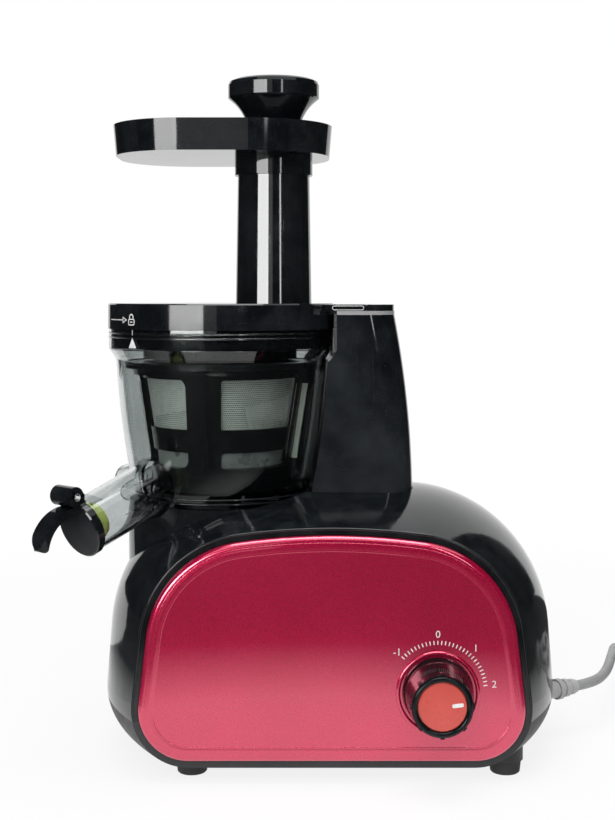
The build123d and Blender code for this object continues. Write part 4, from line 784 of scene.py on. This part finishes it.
def outline_bead(name, outline, section, y, finish, closed=True):
    """Sweeps a closed section of reach and height along an outline on the base, standing proud of Y."""
    shape = bmesh.new()
    rows = []
    for point, outward in outline:
        spots = [(point + reach * outward, proud) for reach, proud in section]
        rows.append([shape.verts.new((spot.x, y - proud, spot.y)) for spot, proud in spots])
    skin(shape, rows, closed)
    keep_mesh(name, shape, "base", finish)


def bowl_ring(name, radius, height, half, finish):
    """Round rib that runs all round the bowl."""
    around, across = 128, 12
    shape = bmesh.new()
    rows = []
    for i in range(around):
        turn = 2 * pi * i / around
        row = []
        for j in range(across):
            swing = 2 * pi * j / across
            reach = radius + half * cos(swing)
            row.append(shape.verts.new((bowl_x + reach * cos(turn), bowl_y + reach * sin(turn),
                                        height + half * sin(swing))))
        rows.append(row)
    skin(shape, rows, closed=True)
    keep_mesh(name, shape, "bowl", finish)


def knob_pointer():
    """Raised bar on the knob's face that points along the dial."""
    shape = bmesh.new()
    add_plate(shape, round_outline(width=0.0063, height=0.0021, corner=0.0007), thick=0.0004)
    tilt = Matrix.Rotation(radians(-7.0), 4, "Y")
    bmesh.ops.transform(shape, matrix=Matrix.Translation((knob_x, knob_front_y, knob_z)) @ tilt
                        @ Matrix.Translation((0.0085, 0.0, 0.0)), verts=shape.verts)
    keep_mesh("knob_pointer", shape, "knob", white_print)


def lock_signs():
    """Arrow, padlock and ear line printed on the lid, and the triangle on the bowl's rim."""
    thick = 0.00008
    sign_turn, sign_height = radians(180.0 + 41.0), 0.2645
    lock_x, lock_z = 0.0042, -0.0012
    arrow = bmesh.new()
    add_strip(arrow, [(-0.0235 + i * 0.0021, 0.0) for i in range(10)], 0.0005, thick)
    add_band(arrow, [(-0.0050, -0.0020), (-0.0050, 0.0020), (-0.0002, 0.0)],
             [(-0.0045, -0.0012), (-0.0045, 0.0012), (-0.0015, 0.0)], thick)
    wrap_round(arrow, sign_turn, lid_r, sign_height)
    keep_mesh("lid_arrow", arrow, "lid", white_print)
    padlock = bmesh.new()
    add_band(padlock, shifted(round_outline(0.0060, 0.0040, 0.0012), lock_x, lock_z),
             shifted(round_outline(0.0047, 0.0028, 0.0007), lock_x, lock_z), thick)
    add_plate(padlock, shifted(round_outline(0.0022, 0.0007, 0.0003), lock_x, lock_z), thick)
    bow_r = 0.0017
    bow = [(lock_x + bow_r * cos(pi * i / 12), bow_r + bow_r * sin(pi * i / 12)) for i in range(13)]
    add_strip(padlock, [(lock_x + bow_r, 0.0009)] + bow + [(lock_x - bow_r, 0.0009)], 0.0007, thick)
    wrap_round(padlock, sign_turn, lid_r, sign_height)
    keep_mesh("lid_padlock", padlock, "lid", white_print)
    ear = bmesh.new()
    add_band(ear, round_outline(0.0195, 0.0028, 0.0013), round_outline(0.0188, 0.0021, 0.00095), thick)
    bmesh.ops.translate(ear, vec=(0.0160, -0.0137, 0.2716), verts=ear.verts)
    keep_mesh("lid_ear_line", ear, "lid", white_print)
    triangle = bmesh.new()
    add_plate(triangle, [(-0.0035, -0.0031), (0.0035, -0.0031), (0.0, 0.0031)], thick)
    add_plate(triangle, [(-0.00025, 0.0046), (0.00025, 0.0046), (0.00025, 0.0078), (-0.00025, 0.0078)], thick)
    wrap_round(triangle, radians(180.0 + 44.6), rim_r, 0.2508)
    keep_mesh("bowl_mark", triangle, "bowl", white_print)


dial_numbers()
round_bead("dial_bead", radius=0.0228, half=0.0013, proud=0.0013, y=panel_y, body="base",
           finish=crimson)
round_bead("knob_rim", radius=0.0153, half=0.0014, proud=0.0011, y=knob_front_y, body="knob",
           finish=knob_black)
knob_pointer()
border_inset = 0.0035
outline_bead("panel_border_swell", face_outline("front_panel", panel_y, border_inset),
             soft_section(half=0.0026, proud=0.0002), panel_y, crimson)
rim_sink = 0.00055
rim_ends_z = 0.0365  # below it the panel hides the edge
outline_bead("front_rim_bead", part_above(face_outline("base_housing", rim_y, rim_sink), rim_ends_z),
             round_section(radius=0.0009), rim_y + rim_sink, black, closed=False)
# Ribs: name, radius, height, half the thickness, finish
for rib in (("bowl_foot_rib_1", 0.0543, 0.1545, 0.0007, black), ("bowl_foot_rib_2", 0.0551, 0.1573, 0.0006, black),
            ("bowl_rim_rib_1", 0.0705, 0.2562, 0.0005, clear), ("bowl_rim_rib_2", 0.0705, 0.2536, 0.0005, clear),
            ("strainer_rim_rib_1", 0.0602, 0.2375, 0.0008, black),
            ("strainer_rim_rib_2", 0.0602, 0.2349, 0.0006, black)):
    bowl_ring(*rib)
lock_signs()


# Studio: pale floor, white surround, soft lamps and dark cards that only reflections see

def seen_share(tree):
    """1 for rays from the camera, from gloss and through glass, else 0."""
    way = tree.nodes.new("ShaderNodeLightPath")
    seen = reckon(tree, "MAXIMUM", way.outputs["Is Camera Ray"], way.outputs["Is Glossy Ray"])
    return reckon(tree, "MAXIMUM", seen, way.outputs["Is Transmission Ray"])


def set_floor():
    """Pale floor that takes soft shadows and turns white away from the juicer."""
    finish, tree, shader, place = begin_finish("studio_floor")
    tree.links.new(shades(tree, mottle(tree, place, 3.0), (0.3, (0.84, 0.84, 0.84)), (0.7, (0.87, 0.87, 0.87))),
                   shader.inputs["Base Color"])
    shader.inputs["Roughness"].default_value = 0.9
    glow = tree.nodes.new("ShaderNodeEmission")
    white = spread(tree, distance_out(tree, place), 0.3, 0.8, 0.85, 1.0)
    show_mix(tree, reckon(tree, "MULTIPLY", seen_share(tree), white), shader.outputs["BSDF"], glow.outputs["Emission"])
    shape = bmesh.new()
    bmesh.ops.create_grid(shape, x_segments=8, y_segments=8, size=5.0)
    mesh = bpy.data.meshes.new("studio_floor")
    shape.to_mesh(mesh)
    shape.free()
    mesh.materials.append(finish)
    floor = put("studio_floor", mesh)


def add_card(name, low, high, fade=None):
    """A dark card between two rows of places, for reflections and refractions only; it may fade in over a distance."""
    finish, tree, shader, place = begin_finish(name)
    tree.links.new(shades(tree, mottle(tree, place, 2.0), (0.3, (0.012, 0.013, 0.015)), (0.7, (0.02, 0.021, 0.024))),
                   shader.inputs["Base Color"])
    shader.inputs["Roughness"].default_value = 1.0
    if fade:
        share = spread(tree, distance_out(tree, place), *fade)
        gone = tree.nodes.new("ShaderNodeBsdfTransparent")
        show_mix(tree, share, gone.outputs["BSDF"], shader.outputs["BSDF"])
    mesh = bpy.data.meshes.new(name)
    count = len(low)
    faces = [(i, i + 1, count + i + 1, count + i) for i in range(count - 1)]
    mesh.from_pydata(low + high, [], faces)
    mesh.materials.append(finish)
    card = put(name, mesh)
    card.visible_camera = False
    card.visible_diffuse = False
    card.visible_shadow = False


def set_cards():
    """A curved card round the front, taller on the far left, and a card on the floor that widens to the back."""
    away = 2.6
    turns = [radians(-148.0 + 291.0 * i / 30) for i in range(31)]
    row = [(away * sin(t), -away * cos(t)) for t in turns]
    add_card("front_card", [(x, y, 0.0) for x, y in row], [(x, y, 6.0 if x < -2.2 else 3.0) for x, y in row])
    slope, lifted = 1.1, 0.0004
    row = [-2.5 + 0.125 * i for i in range(41)]
    back = [0.25 + max(slope * (x - 0.1), -slope * (x + 0.42), 0.0) for x in row]
    add_card("floor_card", [(x, y, lifted) for x, y in zip(row, back)], [(x, -away, lifted) for x in row], (0.25, 0.4))


def add_softbox(name, turn, distance, height, width, tall, power, aim, diffuse, glossy):
    """An area lamp at a turn from the front, for diffuse light, for reflections or for both."""
    lamp = bpy.data.lights.new(name, "AREA")
    lamp.shape = "RECTANGLE"
    lamp.size = width
    lamp.size_y = tall
    lamp.energy = power
    softbox = put(name, lamp)
    softbox.location = (distance * sin(radians(turn)), -distance * cos(radians(turn)), height)
    softbox.rotation_euler = (Vector(aim) - softbox.location).to_track_quat("-Z", "Y").to_euler()
    softbox.visible_diffuse = diffuse
    softbox.visible_glossy = glossy


def set_surround():
    """White where it is seen or mirrored, dim where it lights."""
    world = bpy.data.worlds.new("studio_surround")
    world.use_nodes = True
    bpy.context.scene.world = world
    tree = world.node_tree
    fill = tree.nodes["Background"]
    fill.inputs["Color"].default_value = (0.98, 0.99, 1.0, 1.0)
    fill.inputs["Strength"].default_value = 0.35
    shown = tree.nodes.new("ShaderNodeBackground")
    shown.inputs["Color"].default_value = (1.0, 1.0, 1.0, 1.0)
    shown.inputs["Strength"].default_value = 1.0
    show_mix(tree, seen_share(tree), fill.outputs["Background"], shown.outputs["Background"], "World Output")


set_floor()
set_cards()
set_surround()
# Lamps: name, turn in degrees, distance, height, width, height of the lamp, power, aim, diffuse light, gloss
for softbox_row in (("broad_left", -33.0, 2.1, 0.5, 1.28, 0.6, 25.0, (-0.02, 0.0, 0.5), False, True),
                    ("weak_front", -12.5, 2.1, 0.5, 0.7, 0.6, 0.8, (-0.02, 0.0, 0.5), False, True),
                    ("strip_right", 21.0, 1.7, 0.85, 0.12, 1.1, 3.0, (-0.02, 0.0, 0.85), False, True),
                    ("strip_top", -14.0, 1.5, 1.5, 1.7, 0.16, 3.0, (-0.05, 0.0, 0.15), False, True),
                    ("key_light", -14.0, 1.6, 1.3, 1.2, 1.2, 22.0, (0.0, 0.0, 0.15), True, False),
                    ("top_light", 0.0, 0.25, 2.2, 1.4, 1.4, 26.0, (0.0, 0.0, 0.15), True, True)):
    add_softbox(*softbox_row)
